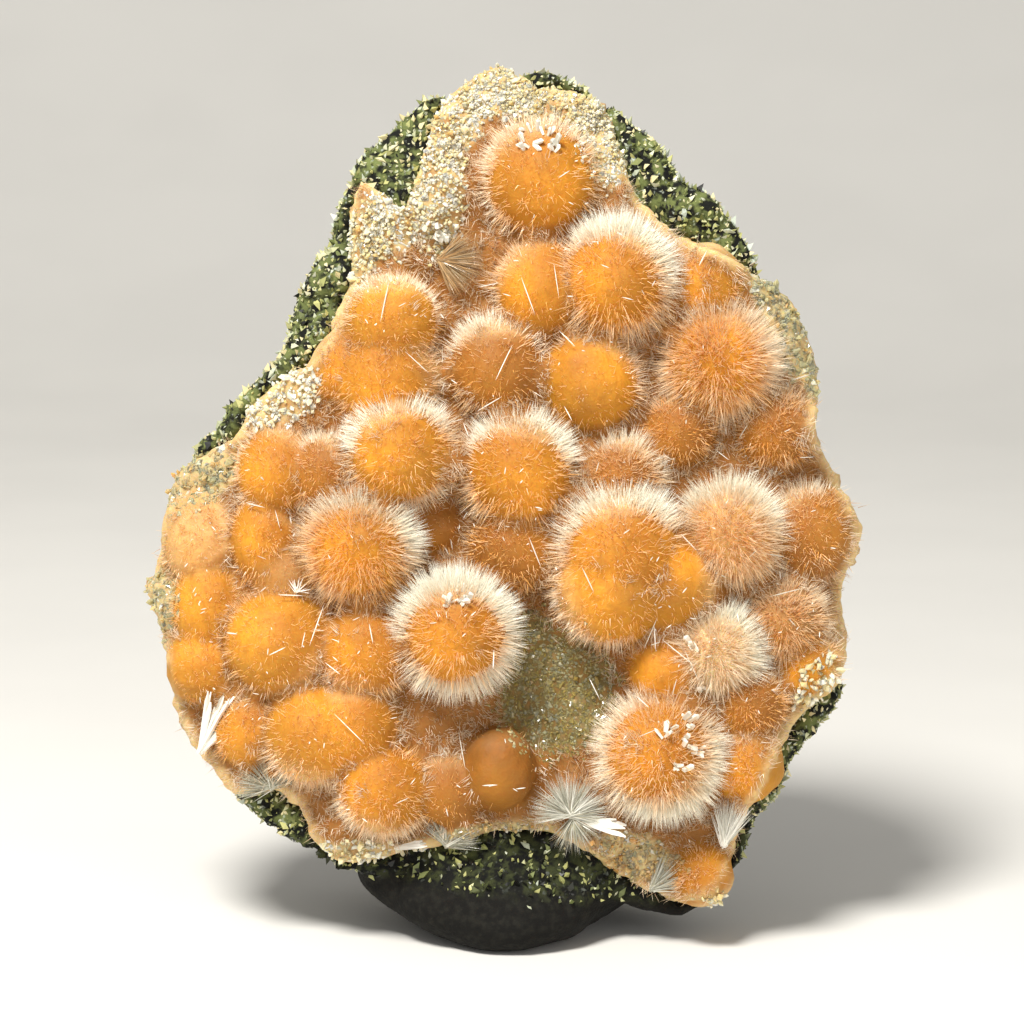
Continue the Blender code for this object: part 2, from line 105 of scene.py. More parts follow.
BALLS = [
    Ball("crown", 4.0, 77.7, 6.5, -0.4, "amber", 0.84, 0.55, 110, 0.8, -40),
    Ball("right_shoulder", 11.5, 67.5, 6.7, 1.6, "amber", 0.77, 1.0, 62, 0.35, 200),
    Ball("left_shoulder", 4.3, 66.8, 5.4, -0.2, "amber", 0.85, 0.35, 130, 0.5, 200),
    Ball("cap", -10.8, 63.3, 5.1, 0.6, "honey", 0.88, 0.6, 90, 0.4, 90, fluff=0.25),
    Ball("cheek", -11.4, 57.6, 6.1, -0.6, "amber", 0.88, 0.45, 20, 0.6, 250, fluff=0.25),
    Ball("cheek_flank", -15.5, 58.8, 4.2, -0.8, "amber", 0.86, 0.5, 150, 0.6, fluff=0.4),
    Ball("upper_middle", -0.3, 58.7, 5.7, -0.2, "rust", 0.82, 0.8, 95, 0.35, 250),
    Ball("upper_inner", 9.0, 57.5, 5.6, -0.4, "honey", 0.87, 0.5, 60, 0.4, 30),
    Ball("right_brush", 21.8, 59.3, 7.0, -0.4, "honey", 0.74, 0.6, 60, 0.7, 20, fluff=0.4),
    Ball("right_ridge", 20.5, 67.2, 5.0, -1.2, "honey", 0.82, 0.6, fluff=0.5),
    Ball("brown_bead", 18.0, 52.5, 4.6, -1.0, "rust", 0.8, 0.4, 90, 0.5, fluff=0.4),
    Ball("half_hidden", 12.2, 47.8, 5.1, -0.4, "rust", 0.78, 0.85, 70, 0.3, fluff=0.4),
    Ball("left_star", -10.0, 50.3, 6.2, 1.6, "honey", 0.8, 1.0, 110, 0.4, 190),
    Ball("centre", 1.8, 48.5, 6.4, 1.0, "amber", 0.82, 1.0, 80, 0.3, 300),
    Ball("left_heart", -14.0, 40.8, 6.6, 1.0, "honey", 0.76, 1.0, 65, 0.25, 215, fluff=0.3),
    Ball("bright_star", -4.5, 32.3, 6.7, 2.6, "amber", 0.75, 1.0, 90, 0.8, 240),
    Ball("big_twin", 12.0, 40.3, 7.3, 1.4, "amber", 0.8, 1.0, 98, 0.35, 210),
    Ball("big_twin_lower", 11.2, 36.8, 6.4, 1.4, "honey", 0.88, 0.4, 200, 0.7, 220),
    Ball("big_twin_right", 16.6, 37.4, 5.6, 0.6, "honey", 0.88, 0.4, 0, 0.6, 60),
    Ball("pale_fleece", 22.8, 42.0, 6.4, -0.2, "fleece", 0.74, 0.85, 80, 0.6, 0, fluff=0.5),
    Ball("right_edge", 30.8, 42.2, 5.6, -0.8, "rust", 0.84, 0.7, 130, 0.4, 0, fluff=0.3),
    Ball("grey_fleece", 28.3, 33.5, 5.2, -0.8, "smoke", 0.76, 0.6, 100, 0.6, fluff=0.55),
    Ball("right_corner", 31.0, 28.9, 4.1, -0.6, "honey", 0.84, 0.5, 40, 0.6, fluff=0.4),
    Ball("pale_bead", 21.4, 30.2, 5.8, 0.0, "milk", 0.72, 1.0, 50, 0.85, 40, fluff=0.5),
    Ball("inner_bead", 17.0, 28.6, 4.9, -0.6, "amber", 0.86, 0.35, 60, 0.5, 200),
    Ball("lower_star", 16.0, 20.1, 6.9, 1.4, "amber", 0.78, 0.85, -40, 0.8, 180, fluff=0.3),
    Ball("lower_right_edge", 24.6, 19.0, 4.6, -0.8, "honey", 0.84, 0.5, fluff=0.5),
    Ball("lower_fleece", 24.6, 25.0, 4.6, -0.8, "rust", 0.82, 0.4, fluff=0.4),
    Ball("bare_bead", 0.0, 18.6, 3.7, 0.6, "bead", 0.97, 0.1, 90, 0.5, 250, 1.15, 0.15, 0.0),
    Ball("lower_left", -11.7, 16.5, 5.4, -0.2, "amber", 0.85, 0.5, 250, 0.6, 190, fluff=0.3),
    Ball("left_bright", -18.6, 22.0, 5.6, -0.4, "honey", 0.87, 0.4, 250, 0.6, 60, fluff=0.3),
    Ball("under_star", -13.2, 30.4, 5.6, -0.6, "amber", 0.85, 0.4, 250, 0.7, 200, fluff=0.3),
    Ball("left_round", -22.2, 31.2, 5.8, -0.2, "honey", 0.9, 0.4, 320, 0.5, 160, fluff=0.3),
    Ball("low_bead", -5.4, 16.4, 4.2, -0.8, "rust", 0.86, 0.35),
    Ball("between_left", -14.6, 22.8, 5.0, -0.6, "amber", 0.86, 0.4, fluff=0.3),
    Ball("left_rib", -23.4, 41.6, 3.9, -0.6, "amber", 0.88, 0.4, 60, 0.5, 180, 1.5, fluff=0.4),
    Ball("left_upper", -22.2, 48.4, 4.9, -0.6, "amber", 0.86, 0.45, 60, 0.6, 200, fluff=0.3),
    Ball("left_inner", -17.6, 48.2, 4.6, -0.4, "rust", 0.8, 0.75, 60, 0.5, fluff=0.3),
    Ball("far_left_upper", -30.2, 41.6, 4.4, -0.8, "fleece", 0.89, 0.4, 30, 0.5, 250, 1.25, fluff=0.4),
    Ball("far_left_middle", -29.4, 34.9, 4.2, -0.6, "honey", 0.9, 0.35, 0, 0.5, 180, 1.2, fluff=0.4),
    Ball("far_left_lower", -30.0, 28.7, 4.2, -0.6, "honey", 0.9, 0.35, 0, 0.5, 100, fluff=0.4),
    Ball("dark_middle", 1.4, 40.8, 5.4, -1.2, "rust", 0.86, 0.3, 90, 0.6, 0, fluff=0.4),
    Ball("under_left_star", -6.6, 43.0, 4.4, -1.6, "rust", 0.84, 0.3),
    Ball("bottom_corner", 20.2, 7.8, 3.9, -0.6, "amber", 0.84, 0.6, 300, 0.5, 60, fluff=0.55),
    Ball("right_low", 27.4, 52.6, 5.0, -1.6, "rust", 0.82, 0.4, fluff=0.6),
    Ball("lower_left_edge", -25.2, 22.4, 4.2, -0.8, "amber", 0.88, 0.4, fluff=0.4),
    Ball("below_hollow", 8.6, 14.8, 4.0, -1.4, "rust", 0.6, 0.4, hair=0.0),
    Ball("left_pocket", -21.6, 38.2, 4.2, -1.4, "smoke", 0.84, 0.3),
]

# Soft dips in the crust: x, v, radius and depth
HOLLOWS = [(5.6, 26.8, 6.8, 4.4), (-3.2, 69.0, 4.6, 3.2), (-5.8, 42.6, 3.0, 1.6), (16.4, 56.6, 3.0, 1.4)]


class Patch(NamedTuple):
    """An oval of the crust that is set with small blocky crystals."""

    x: float
    v: float
    along: float  # half of its length
    across: float  # half of its width
    turn_deg: float  # of its length, from +x towards +v
    grain: float  # how wide its crystals are
    tint: float  # 0 is olive, 0.25 grey-green, 0.5 amber, 0.75 cream and 1 milky


DRUSE = [
    Patch(0.0, 86.6, 4.8, 2.8, 0, 0.38, 0.78),
    Patch(5.2, 85.0, 5.6, 2.6, -10, 0.38, 0.78),
    Patch(9.8, 81.2, 5.0, 2.4, -70, 0.38, 0.82),
    Patch(-4.4, 83.2, 4.4, 2.6, 60, 0.42, 0.86),
    Patch(-6.0, 76.5, 6.6, 2.6, 85, 0.44, 0.88),
    Patch(-10.6, 73.6, 4.6, 2.8, 70, 0.44, 0.92),
    Patch(-13.6, 71.4, 4.8, 1.9, 80, 0.44, 0.84),
    Patch(-21.6, 55.6, 4.4, 2.4, 35, 0.5, 0.95),
    Patch(29.2, 62.6, 8.2, 2.7, -62, 0.55, 0.27),
    Patch(-30.4, 47.8, 4.4, 2.9, 30, 0.5, 0.32),
    Patch(-34.6, 34.8, 3.6, 2.2, 80, 0.5, 0.28),
    Patch(5.6, 26.0, 6.4, 6.2, 60, 0.36, 0.05),
    Patch(2.8, 31.6, 3.2, 2.2, 70, 0.42, 0.04),
    Patch(-13.0, 9.9, 6.0, 1.5, -3, 0.6, 0.85),
    Patch(13.6, 9.9, 4.6, 2.2, -20, 0.45, 0.4),
    Patch(31.6, 27.2, 3.0, 1.8, 60, 0.6, 0.85),
    Patch(20.6, 4.9, 3.0, 1.0, 25, 0.5, 0.8),
    Patch(-0.6, 12.3, 6.0, 0.8, 4, 0.4, 0.7),
]


class Spray(NamedTuple):
    """A fan of blades that spread from one root."""

    x: float
    v: float
    aim_deg: float  # the middle of the fan, from +x towards +v
    spread_deg: float
    length: float
    blades: int
    width: float
    tint: float  # 0 is brown, 0.5 grey and glassy, and 1 white
    rise: float = 0.3  # of its root above the crust


SPRAYS = [
    Spray(-30.2, 20.2, 58, 46, 7.4, 44, 0.45, 1.0, 2.0),
    Spray(7.0, 14.0, 90, 210, 5.0, 460, 0.18, 0.68, 0.8),
    Spray(7.4, 13.6, -8, 14, 6.0, 8, 0.5, 1.0),
    Spray(7.2, 13.6, -80, 110, 4.0, 160, 0.18, 0.5),
    Spray(-6.2, 69.6, -10, 120, 5.4, 460, 0.13, 0.12, 0.6),
    Spray(-7.2, 82.0, -24, 90, 4.8, 30, 0.42, 0.85, 1.2),
    Spray(-23.0, 16.6, 110, 190, 4.6, 340, 0.18, 0.5, 0.6),
    Spray(-10.4, 10.6, 12, 14, 3.8, 6, 0.5, 0.95),
    Spray(-5.4, 10.9, 70, 150, 4.2, 260, 0.16, 0.55, 0.5),
    Spray(15.2, 6.4, 40, 80, 5.0, 160, 0.16, 0.65, 0.5),
    Spray(22.4, 11.0, 78, 60, 5.4, 320, 0.14, 0.95, 1.2),
    Spray(-14.9, 51.0, 150, 120, 1.8, 16, 0.24, 1.0),
    Spray(-20.4, 36.4, 60, 150, 1.8, 16, 0.24, 1.0),
]
FINEST_BLADE = 0.3  # the crystals of a narrower spray are needles

# Short needles strewn over the balls: how many places are tried, and the corners of their area
STREWN_PLACES = 640
STREWN_AREA = ((-33.0, 9.0), (34.0, 82.0))
LONGEST_STREWN = 2.4

# Small white crystals that sit in clusters on the balls: x, v, how far they spread and how many
TUFTS = [
    (3.2, 81.4, 1.5, 16), (5.1, 80.6, 0.7, 7), (16.0, 22.4, 0.5, 4), (18.2, 23.0, 0.7, 7),
    (18.0, 21.4, 0.5, 4), (19.3, 20.4, 0.5, 4), (17.7, 19.3, 0.6, 6), (-3.8, 36.0, 0.8, 8),
    (-5.0, 35.4, 0.5, 4), (-6.2, 72.6, 0.9, 8), (19.2, 30.6, 0.6, 4), (20.2, 26.8, 0.5, 3),
]

# Loose needles that lie on the balls, from (x, v) to (x, v)
LOOSE_NEEDLES = [
    ((-11.0, 66.5), (-11.7, 63.0)), ((-5.7, 60.5), (-6.2, 56.0)), ((-9.8, 60.3), (-7.6, 58.0)),
    ((2.4, 67.5), (3.6, 64.3)), ((5.2, 68.5), (5.7, 65.7)), ((8.6, 39.0), (9.6, 36.3)),
    ((-16.6, 24.0), (-13.6, 21.5)), ((-4.6, 22.5), (-2.9, 18.5)), ((27.0, 35.5), (30.0, 36.3)),
    ((14.8, 33.5), (15.7, 30.0)), ((14.5, 30.5), (15.3, 34.4)), ((16.2, 31.6), (19.5, 29.2)),
    ((18.6, 30.5), (19.9, 28.0)), ((17.4, 27.8), (17.1, 26.3)), ((9.3, 27.2), (10.5, 25.5)),
    ((26.0, 40.4), (28.0, 40.2)), ((27.4, 38.7), (27.7, 37.2)), ((2.7, 41.7), (3.7, 39.0)),
    ((-5.3, 41.8), (-4.8, 40.1)), ((-1.9, 54.8), (0.1, 56.2)), ((-5.7, 52.7), (-3.6, 53.4)),
    ((-3.8, 53.0), (-2.5, 51.3)), ((-24.8, 45.4), (-23.3, 45.0)), ((-22.5, 45.1), (-22.2, 42.6)),
    ((-17.5, 35.4), (-19.3, 31.2)), ((-19.6, 32.2), (-20.0, 30.9)), ((-22.8, 30.3), (-21.4, 30.9)),
    ((-22.2, 35.5), (-20.1, 35.4)), ((-13.1, 32.8), (-12.8, 31.1)), ((-16.9, 29.6), (-15.3, 28.5)),
    ((19.9, 68.5), (20.9, 70.0)), ((28.8, 57.5), (30.8, 58.0)), ((23.5, 51.5), (25.0, 53.1)),
    ((29.4, 50.2), (31.1, 50.3)), ((22.5, 53.1), (22.6, 51.8)), ((-0.4, 57.6), (1.0, 60.6)),
]


def linear(hex_colour):
    """An sRGB hex colour as linear red, green and blue."""
    values = [int(hex_colour[i : i + 2], 16) / 255.0 for i in (1, 3, 5)]
    return tuple(c / 12.92 if c <= 0.04045 else ((c + 0.055) / 1.055) ** 2.4 for c in values)


def colour(name, hex_colour, description):
    """A colour that the user can change."""
    return FloatVectorProperty(
        name=name, description=description, default=linear(hex_colour), subtype="COLOR", min=0.0, max=1.0
    )


def length(name, millimetres, description):
    """A length that the user can change."""
    return FloatProperty(
        name=name, description=description, default=millimetres * MM, unit="LENGTH", min=0.0, precision=5
    )


def factor(name, default, description):
    """A share that the user can change."""
    return FloatProperty(name=name, description=description, default=default, min=0.0, max=1.0)


class RockLooks(bpy.types.PropertyGroup):
    """The basalt"""

    voxel: length("Voxel", 0.58, "How finely the rock's surface is made")
    lumps: length("Lumps", 0.8, "How far its lumps stand out")
    scoops: length("Scoops", 2.2, "How deep the hollows of its broken back are")
    grains: length("Grains", 0.55, "How far its grains stand out")
    basalt: colour("Basalt", "#161713", "Fresh basalt")
    broken: colour("Broken basalt", "#43423B", "The small crystals that make the broken back grey")
    celadonite: colour("Celadonite", "#747D49", "The green mineral that coats the old surface")
    moss: colour("Moss green", "#C2C07C", "Paler yellow-green grains")
    slate: colour("Blue-green", "#B2BBAC", "Paler blue-green grains")
    ochre: colour("Ochre", "#E2D6A4", "Iron-stained grains")
    # Painted shade: the colour of the deepest gaps of the old surface and of the cleft under the crust.
    cleft: colour("Clefts", "#0C0D0A", "The deepest gaps of the old surface")
    foot: colour("Foot", "#100F0C", "The fine dark rock of the foot")
    foot_grain: colour("Foot grain", "#1F1E19", "The paler grain of the foot")
    loose: IntProperty(
        name="Grains", description="Places tried for grains on the rock", default=53000, min=1
    )
    seed: IntProperty(name="Seed", description="Which random grains are made", default=3)


class CrustLooks(bpy.types.PropertyGroup):
    """The solid part of the thomsonite"""

    voxel: length("Voxel", 0.5, "How finely the crust's surface is made")
    depth: length("Light depth", 1.1, "How far light travels in the crust")
    amber: colour("Amber", "#B2761C", "Most cores")
    honey: colour("Honey", "#BE8424", "The brightest cores")
    rust: colour("Rust", "#925E24", "The darker and pinker cores")
    fleece: colour("Fleece", "#D6AC72", "Cores that white needles hide")
    smoke: colour("Smoke", "#A57F52", "Grey-brown cores")
    bead: colour("Bead", "#84541A", "The smooth bead")
    glow: colour("Glow", "#EAA02C", "Where light shines through a core")
    deep: colour("Deep", "#AC6A1E", "Where a core lies in its own shade")
    # Ground is partly the crust's own brown and partly painted shade in the gaps between the balls; it also
    # colours the fibre streaks of the broken side.
    ground: colour("Ground", "#9A682E", "The crust between the balls")
    # Milk is partly the pale roots of white needles and partly painted light on a core's lit side.
    milk: colour("Milk", "#F0DDB0", "The sides of the cores that white needles grow from")
    rim: colour("Rim", "#EED39A", "The thin edge of the crust, which light shines through")
    cream: colour("Cream", "#D2B884", "The crust under the druse")
    olive: colour("Olive", "#7A683A", "The crust in the hollow")


class NeedleLooks(bpy.types.PropertyGroup):
    """The needles of the balls"""

    density: FloatProperty(
        name="Density", description="Needles for each square millimetre of a ball", default=36.0, min=0.0
    )
    width: length("Width", 0.09, "How wide a needle is at its root")
    clump: IntProperty(name="Clump", description="Needles whose tips lean together", default=5, min=1)
    root: colour("Root", "#F0AE52", "Their colour in the core")
    # Tip and shaft: the white sides are partly the needles' own white and partly painted light; the dull
    # sides are partly painted shade.
    shaft: colour("Shaft", "#F0C078", "Their colour on the dull sides")
    tip: colour("Tip", "#FFFFF2", "Their colour on the white sides")
    low_root: colour("Low root", "#B27C38", "The colour of the short needles' roots between the balls")
    low_shaft: colour("Low shaft", "#E2B26E", "The same, further up")
    bundles: IntProperty(name="Bundles", description="Places tried for bundles of needles", default=15000)
    bundle: IntProperty(name="Bundle", description="Needles in a bundle", default=7, min=1)
    seed: IntProperty(name="Seed", description="Which random needles are made", default=7)


class DruseLooks(bpy.types.PropertyGroup):
    """The small blocky crystals, the blades and the loose needles"""

    density: FloatProperty(
        name="Cover", description="How many layers of crystals cover a patch", default=1.8, min=0.0
    )
    depth: length("Light depth", 0.9, "How far light travels in the druse")
    olive: colour("Olive", "#9A8648", "Crystals in the hollow")
    grey: colour("Grey-green", "#ACA883", "Crystals along the right edge")
    amber: colour("Amber", "#CC9654", "Crystals stained by the crust under them")
    cream: colour("Cream", "#D8C692", "Crystals round the top")
    # Milk also colours the paler crystals that stand in as painted glints.
    milk: colour("Milk", "#FCF0D2", "The milkiest of them")
    brown: colour("Brown", "#C09864", "Blades that show the crust behind them")
    glassy: colour("Glassy", "#A8A793", "Blades that show the rock behind them")
    white: colour("White", "#FFFCF2", "White blades and needles")
    seed: IntProperty(name="Seed", description="Which random crystals are made", default=11)


class StageLooks(bpy.types.PropertyGroup):
    """The floor, the lights and the camera"""

    floor: colour("Floor", "#E4E2DD", "The pale floor")
    lens: FloatProperty(name="Lens", description="Focal length in millimetres", default=150.0, min=1.0)
    key: FloatProperty(name="Key light", description="Power of the key light", default=4.2, unit="POWER")
    fill: FloatProperty(name="Fill light", description="Power of the fill light", default=0.8, unit="POWER")


def to_world(points):
    """Face coordinates (x, v, w) in millimetres as the specimen's own, in metres."""
    x, v, w = points.T
    ahead = FACE_AHEAD + w * math.cos(LEAN) - v * math.sin(LEAN)
    return np.stack([x + SIDE_SHIFT, -ahead, v * math.cos(LEAN) + w * math.sin(LEAN)], axis=1) * MM


def to_face(points):
    """The other way round."""
    x, y, z = points.T / MM
    y = y + FACE_AHEAD
    v = y * math.sin(LEAN) + z * math.cos(LEAN)
    return np.stack([x - SIDE_SHIFT, v, z * math.sin(LEAN) - y * math.cos(LEAN)], axis=1)


def ramp(value, start, full):
    """0 up to start, rising to 1 at full and going on past it."""
    return np.maximum(0.0, (value - start) / (full - start))


def step(value, start, full):
    """0 up to start and 1 from full on, with a smooth rise between them."""
    share = np.clip((value - start) / (full - start), 0.0, 1.0)
    return share * share * (3.0 - 2.0 * share)


def crust_height(x, v):
    """w of the crust between the balls."""
    fall = 7.5 * ramp(-x, 17.0, 36.0) ** 1.5 + 5.0 * ramp(x, 24.0, 36.0) ** 1.5
    fall += 3.0 * ramp(v, 76.0, 89.0) ** 1.4 + 2.2 * ramp(-v, -20.0, -6.0)
    dips = [d * np.exp(-((x - hx) ** 2 + (v - hv) ** 2) / reach**2) for hx, hv, reach, d in HOLLOWS]
    return -fall - sum(dips)


RADII = np.array([ball.radius for ball in BALLS])
CORES = RADII * np.array([ball.core for ball in BALLS])
STRETCH = np.array([ball.stretch for ball in BALLS])
CENTRES = np.array([(b.x, b.v, crust_height(b.x, b.v) + b.lift) for b in BALLS])


def distances(points):
    """How far each point is from each ball's centre, with a stretched ball measured as if it were round."""
    apart = points[:, None, :] - CENTRES[None, :, :]
    apart[:, :, 1] /= STRETCH
    return np.linalg.norm(apart, axis=2)


def coordinates(mesh):
    """A mesh's vertices as rows of x, y and z."""
    found = np.empty(len(mesh.vertices) * 3, np.float32)
    mesh.vertices.foreach_get("co", found)
    return found.reshape(-1, 3).astype(float)


def outline_reach():
    """A function that gives how far points of the face lie inside the crust's outline."""
    points = to_face(coordinates(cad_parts["thomsonite_crust"].data))
    from_middle = points[:, :2] - FACE_MIDDLE
    radius = np.linalg.norm(from_middle, axis=1)
    turn = np.arctan2(from_middle[:, 1], from_middle[:, 0])
    spokes = np.arange(OUTLINE_SPOKES) * math.tau / OUTLINE_SPOKES
    off_spoke = np.abs((turn[None, :] - spokes[:, None] + math.pi) % math.tau - math.pi)
    rim = np.where(off_spoke < SAME_SPOKE, radius[None, :], 0.0).max(axis=1)

    def inside_by(found):
        apart = found[:, :2] - FACE_MIDDLE
        angle = np.arctan2(apart[:, 1], apart[:, 0])
        return np.interp(angle, spokes, rim, period=math.tau) - np.linalg.norm(apart, axis=1)

    return inside_by


inside_by = outline_reach()


def fractal(points, size, seed, octaves=3):
    """Smooth random values from about -1 to 1, with hills about size across."""
    shift = Vector((seed, 0.0, 0.0))
    return np.array([noise.fractal(Vector(p) / size + shift, 1.0, 2.0, octaves) for p in points])


def pebbles(points, size, seed):
    """Rounded lumps about size across: 1 at their middles, falling to 0 and below between them."""
    shift = Vector((seed, 0.0, 0.0))
    return np.array([1.0 - 1.4 * noise.voronoi(Vector(p) / size + shift)[0][0] for p in points])


def add_node(tree, kind, inputs=None, **settings):
    """Adds a node, sets its properties and its sockets, and links the sockets that are given an output."""
    node = tree.nodes.new(kind)
    for name, value in settings.items():
        setattr(node, name, value)
    for name, value in (inputs or {}).items():
        if isinstance(value, bpy.types.NodeSocket):
            tree.links.new(value, node.inputs[name])
        else:
            node.inputs[name].default_value = value
    return node


def new_material(name):
    """A material with its output and nothing else, and its node tree."""
    material = bpy.data.materials.new(name)
    material.use_nodes = True
    material.node_tree.nodes.clear()
    return material, material.node_tree


def finish_material(tree, base_colour, normal=None, **values):
    """Puts a Principled shader with these values between the colour and the output."""
    inputs = {name.replace("_", " "): value for name, value in values.items()}
    inputs["Base Color"] = base_colour
    if normal is not None:
        inputs["Normal"] = normal
    shader = add_node(tree, "ShaderNodeBsdfPrincipled", inputs)
    add_node(tree, "ShaderNodeOutputMaterial", {"Surface": shader.outputs["BSDF"]})


def rgba(value):
    """A colour with full opacity."""
    return (*value[:3], 1.0)


def mixed(tree, share, first, second):
    """The output of a node that mixes two colours."""
    node = add_node(tree, "ShaderNodeMix", data_type="RGBA")
    for socket, value in ((0, share), (6, first), (7, second)):
        if isinstance(value, bpy.types.NodeSocket):
            tree.links.new(value, node.inputs[socket])
        elif socket == 0:
            node.inputs[0].default_value = value
        else:
            node.inputs[socket].default_value = rgba(value)
    return node.outputs[2]


def banded(tree, value, colours):
    """A colour for each value from 0 to 1: the colours follow each other in even steps."""
    node = add_node(tree, "ShaderNodeValToRGB", {"Fac": value})
    elements = node.color_ramp.elements
    elements[0].position, elements[1].position = 0.0, 1.0
    for i in range(1, len(colours) - 1):
        elements.new(i / (len(colours) - 1))
    for element, tone in zip(elements, colours):
        element.color = rgba(tone)
    return node.outputs["Color"]


def grain(tree, size_mm, detail=3.0, start=0.4, full=0.6):
    """A random pattern of spots about size_mm across, from 0 to 1."""
    place = add_node(tree, "ShaderNodeTexCoord").outputs["Object"]
    spots = add_node(
        tree, "ShaderNodeTexNoise", {"Vector": place, "Scale": 1.0 / (size_mm * MM), "Detail": detail}
    )
    sharpened = add_node(
        tree,
        "ShaderNodeMapRange",
        {"Value": spots.outputs["Fac"], "From Min": start, "From Max": full},
        interpolation_type="SMOOTHSTEP",
    )
    return sharpened.outputs["Result"]


def named_value(tree, name, output="Fac"):
    """A value that the mesh holds under this name."""
    return add_node(tree, "ShaderNodeAttribute", attribute_name=name).outputs[output]


def grains_material(looks):
    """Weathered grains of the basalt: black glassy ones, green celadonite, and some stained by iron."""
    material, tree = new_material("basalt_grains")
    bands = (looks.basalt, looks.celadonite, looks.moss, looks.slate, looks.ochre)
    finish_material(tree, banded(tree, named_value(tree, "tint"), bands), Roughness=0.4)
    return material


def basalt_material(looks):
    """Basalt, broken and weathered: matt and nearly black, with green celadonite in its old surface."""
    material, tree = new_material("basalt_broken")
    height = named_value(tree, "shaded_relief")
    coated = np.array(looks.celadonite) * 0.95
    green = mixed(tree, grain(tree, 1.2, 6.0, 0.42, 0.6), looks.basalt, coated)
    blue = mixed(tree, grain(tree, 0.7, 5.0, 0.6, 0.72), green, looks.slate)
    # Painted shade: the old surface turns to the cleft colour where the shaded relief is low, in the gaps
    # between its grains and in the cleft under the crust.
    weathered = mixed(tree, height, looks.cleft, blue)
    fresh = mixed(tree, grain(tree, 0.5, 6.0, 0.4, 0.62), looks.basalt, looks.broken)
    filled = mixed(tree, grain(tree, 2.2, 0.5, 0.66, 0.76), fresh, looks.celadonite)
    rock = mixed(tree, named_value(tree, "old"), filled, weathered)
    fine = mixed(tree, grain(tree, 0.8, 4.0, 0.4, 0.7), looks.foot, looks.foot_grain)
    tone = mixed(tree, named_value(tree, "foot"), rock, fine)
    rough = add_node(
        tree,
        "ShaderNodeBump",
        {"Height": grain(tree, 0.3, 4.0, 0.2, 0.8), "Strength": 0.6, "Distance": 0.12 * MM},
    )
    finish_material(tree, tone, rough.outputs["Normal"], Roughness=0.9, Specular_IOR_Level=0.25)
    return material


def crust_material(looks):
    """Thomsonite, massive and finely fibrous: light goes in, and comes out warmer."""
    material, tree = new_material("thomsonite_fibrous")
    tone = named_value(tree, "tone", "Color")
    mottled = mixed(tree, grain(tree, 0.9, 4.0, 0.4, 0.7), tone, looks.deep)
    soft = mixed(tree, 0.35, tone, mottled)
    fibres = add_node(
        tree,
        "ShaderNodeBump",
        {"Height": grain(tree, 0.35, 3.0, 0.2, 0.8), "Strength": 0.45, "Distance": 0.1 * MM},
    )
    finish_material(
        tree,
        soft,
        fibres.outputs["Normal"],
        Roughness=0.65,
        IOR=1.53,
        Specular_IOR_Level=0.3,
        Subsurface_Weight=0.6,
        Subsurface_Radius=(1.0, 0.5, 0.2),
        Subsurface_Scale=looks.depth,
    )
    return material


def needle_material(name, root, shaft, tip):
    """Thomsonite, grown as clear needles: amber where they leave the core, white where light fills them."""
    material, tree = new_material(name)
    tint = named_value(tree, "tint")
    along = named_value(tree, "along")
    start = add_node(tree, "ShaderNodeMath", {0: tint, 1: -0.55, 2: 0.55}, operation="MULTIPLY_ADD")
    past = add_node(tree, "ShaderNodeMath", {0: along, 1: start.outputs[0]}, operation="SUBTRACT")
    share = add_node(
        tree,
        "ShaderNodeMapRange",
        {"Value": past.outputs[0], "From Min": -0.15, "From Max": 0.35},
        interpolation_type="SMOOTHSTEP",
    )
    far_end = mixed(tree, tint, shaft, tip)
    near_end = mixed(tree, tint, root, tip)
    tone = mixed(tree, share.outputs["Result"], near_end, far_end)
    finish_material(tree, tone, Roughness=0.3, IOR=1.53)
    return material


def druse_material(looks):
    """Small zeolite crystals with bright faces, from clear olive to milky cream."""
    material, tree = new_material("zeolite_druse")
    bands = (looks.olive, looks.grey, looks.amber, looks.cream, looks.milk)
    tone = banded(tree, named_value(tree, "tint"), bands)
    finish_material(
        tree,
        tone,
        Roughness=0.16,
        IOR=1.51,
        Subsurface_Weight=0.8,
        Subsurface_Radius=(1.0, 0.85, 0.6),
        Subsurface_Scale=looks.depth,
    )
    return material


def blade_material(looks):
    """Thomsonite, grown as flat blades with a glassy shine: grey where clear and white where milky."""
    material, tree = new_material("thomsonite_blade")
    tone = banded(tree, named_value(tree, "tint"), (looks.brown, looks.glassy, looks.white))
    finish_material(tree, tone, Roughness=0.2, IOR=1.53)
    return material


def stage_material(looks):
    """Painted board, matt and pale."""
    material, tree = new_material("painted_board")
    tone = mixed(tree, grain(tree, 40.0, 2.0, 0.3, 0.7), looks.floor, np.array(looks.floor) * 0.97)
    finish_material(tree, tone, Roughness=0.9)
    return material


def set_values(mesh, name, values):
    """Stores one number for each vertex."""
    mesh.attributes.new(name, "FLOAT", "POINT").data.foreach_set("value", values.astype(np.float32))


def add_piece(name, mesh, material, slot, *nodes):
    """Puts a mesh that is in the specimen's own frame on the specimen."""
    mesh.name = name
    mesh.materials.clear()
    mesh.materials.append(material)
    piece = bpy.data.objects.new(name, mesh)
    bpy.context.scene.collection.objects.link(piece)
    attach(piece, "root")
    if nodes:
        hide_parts(*nodes)
    return piece


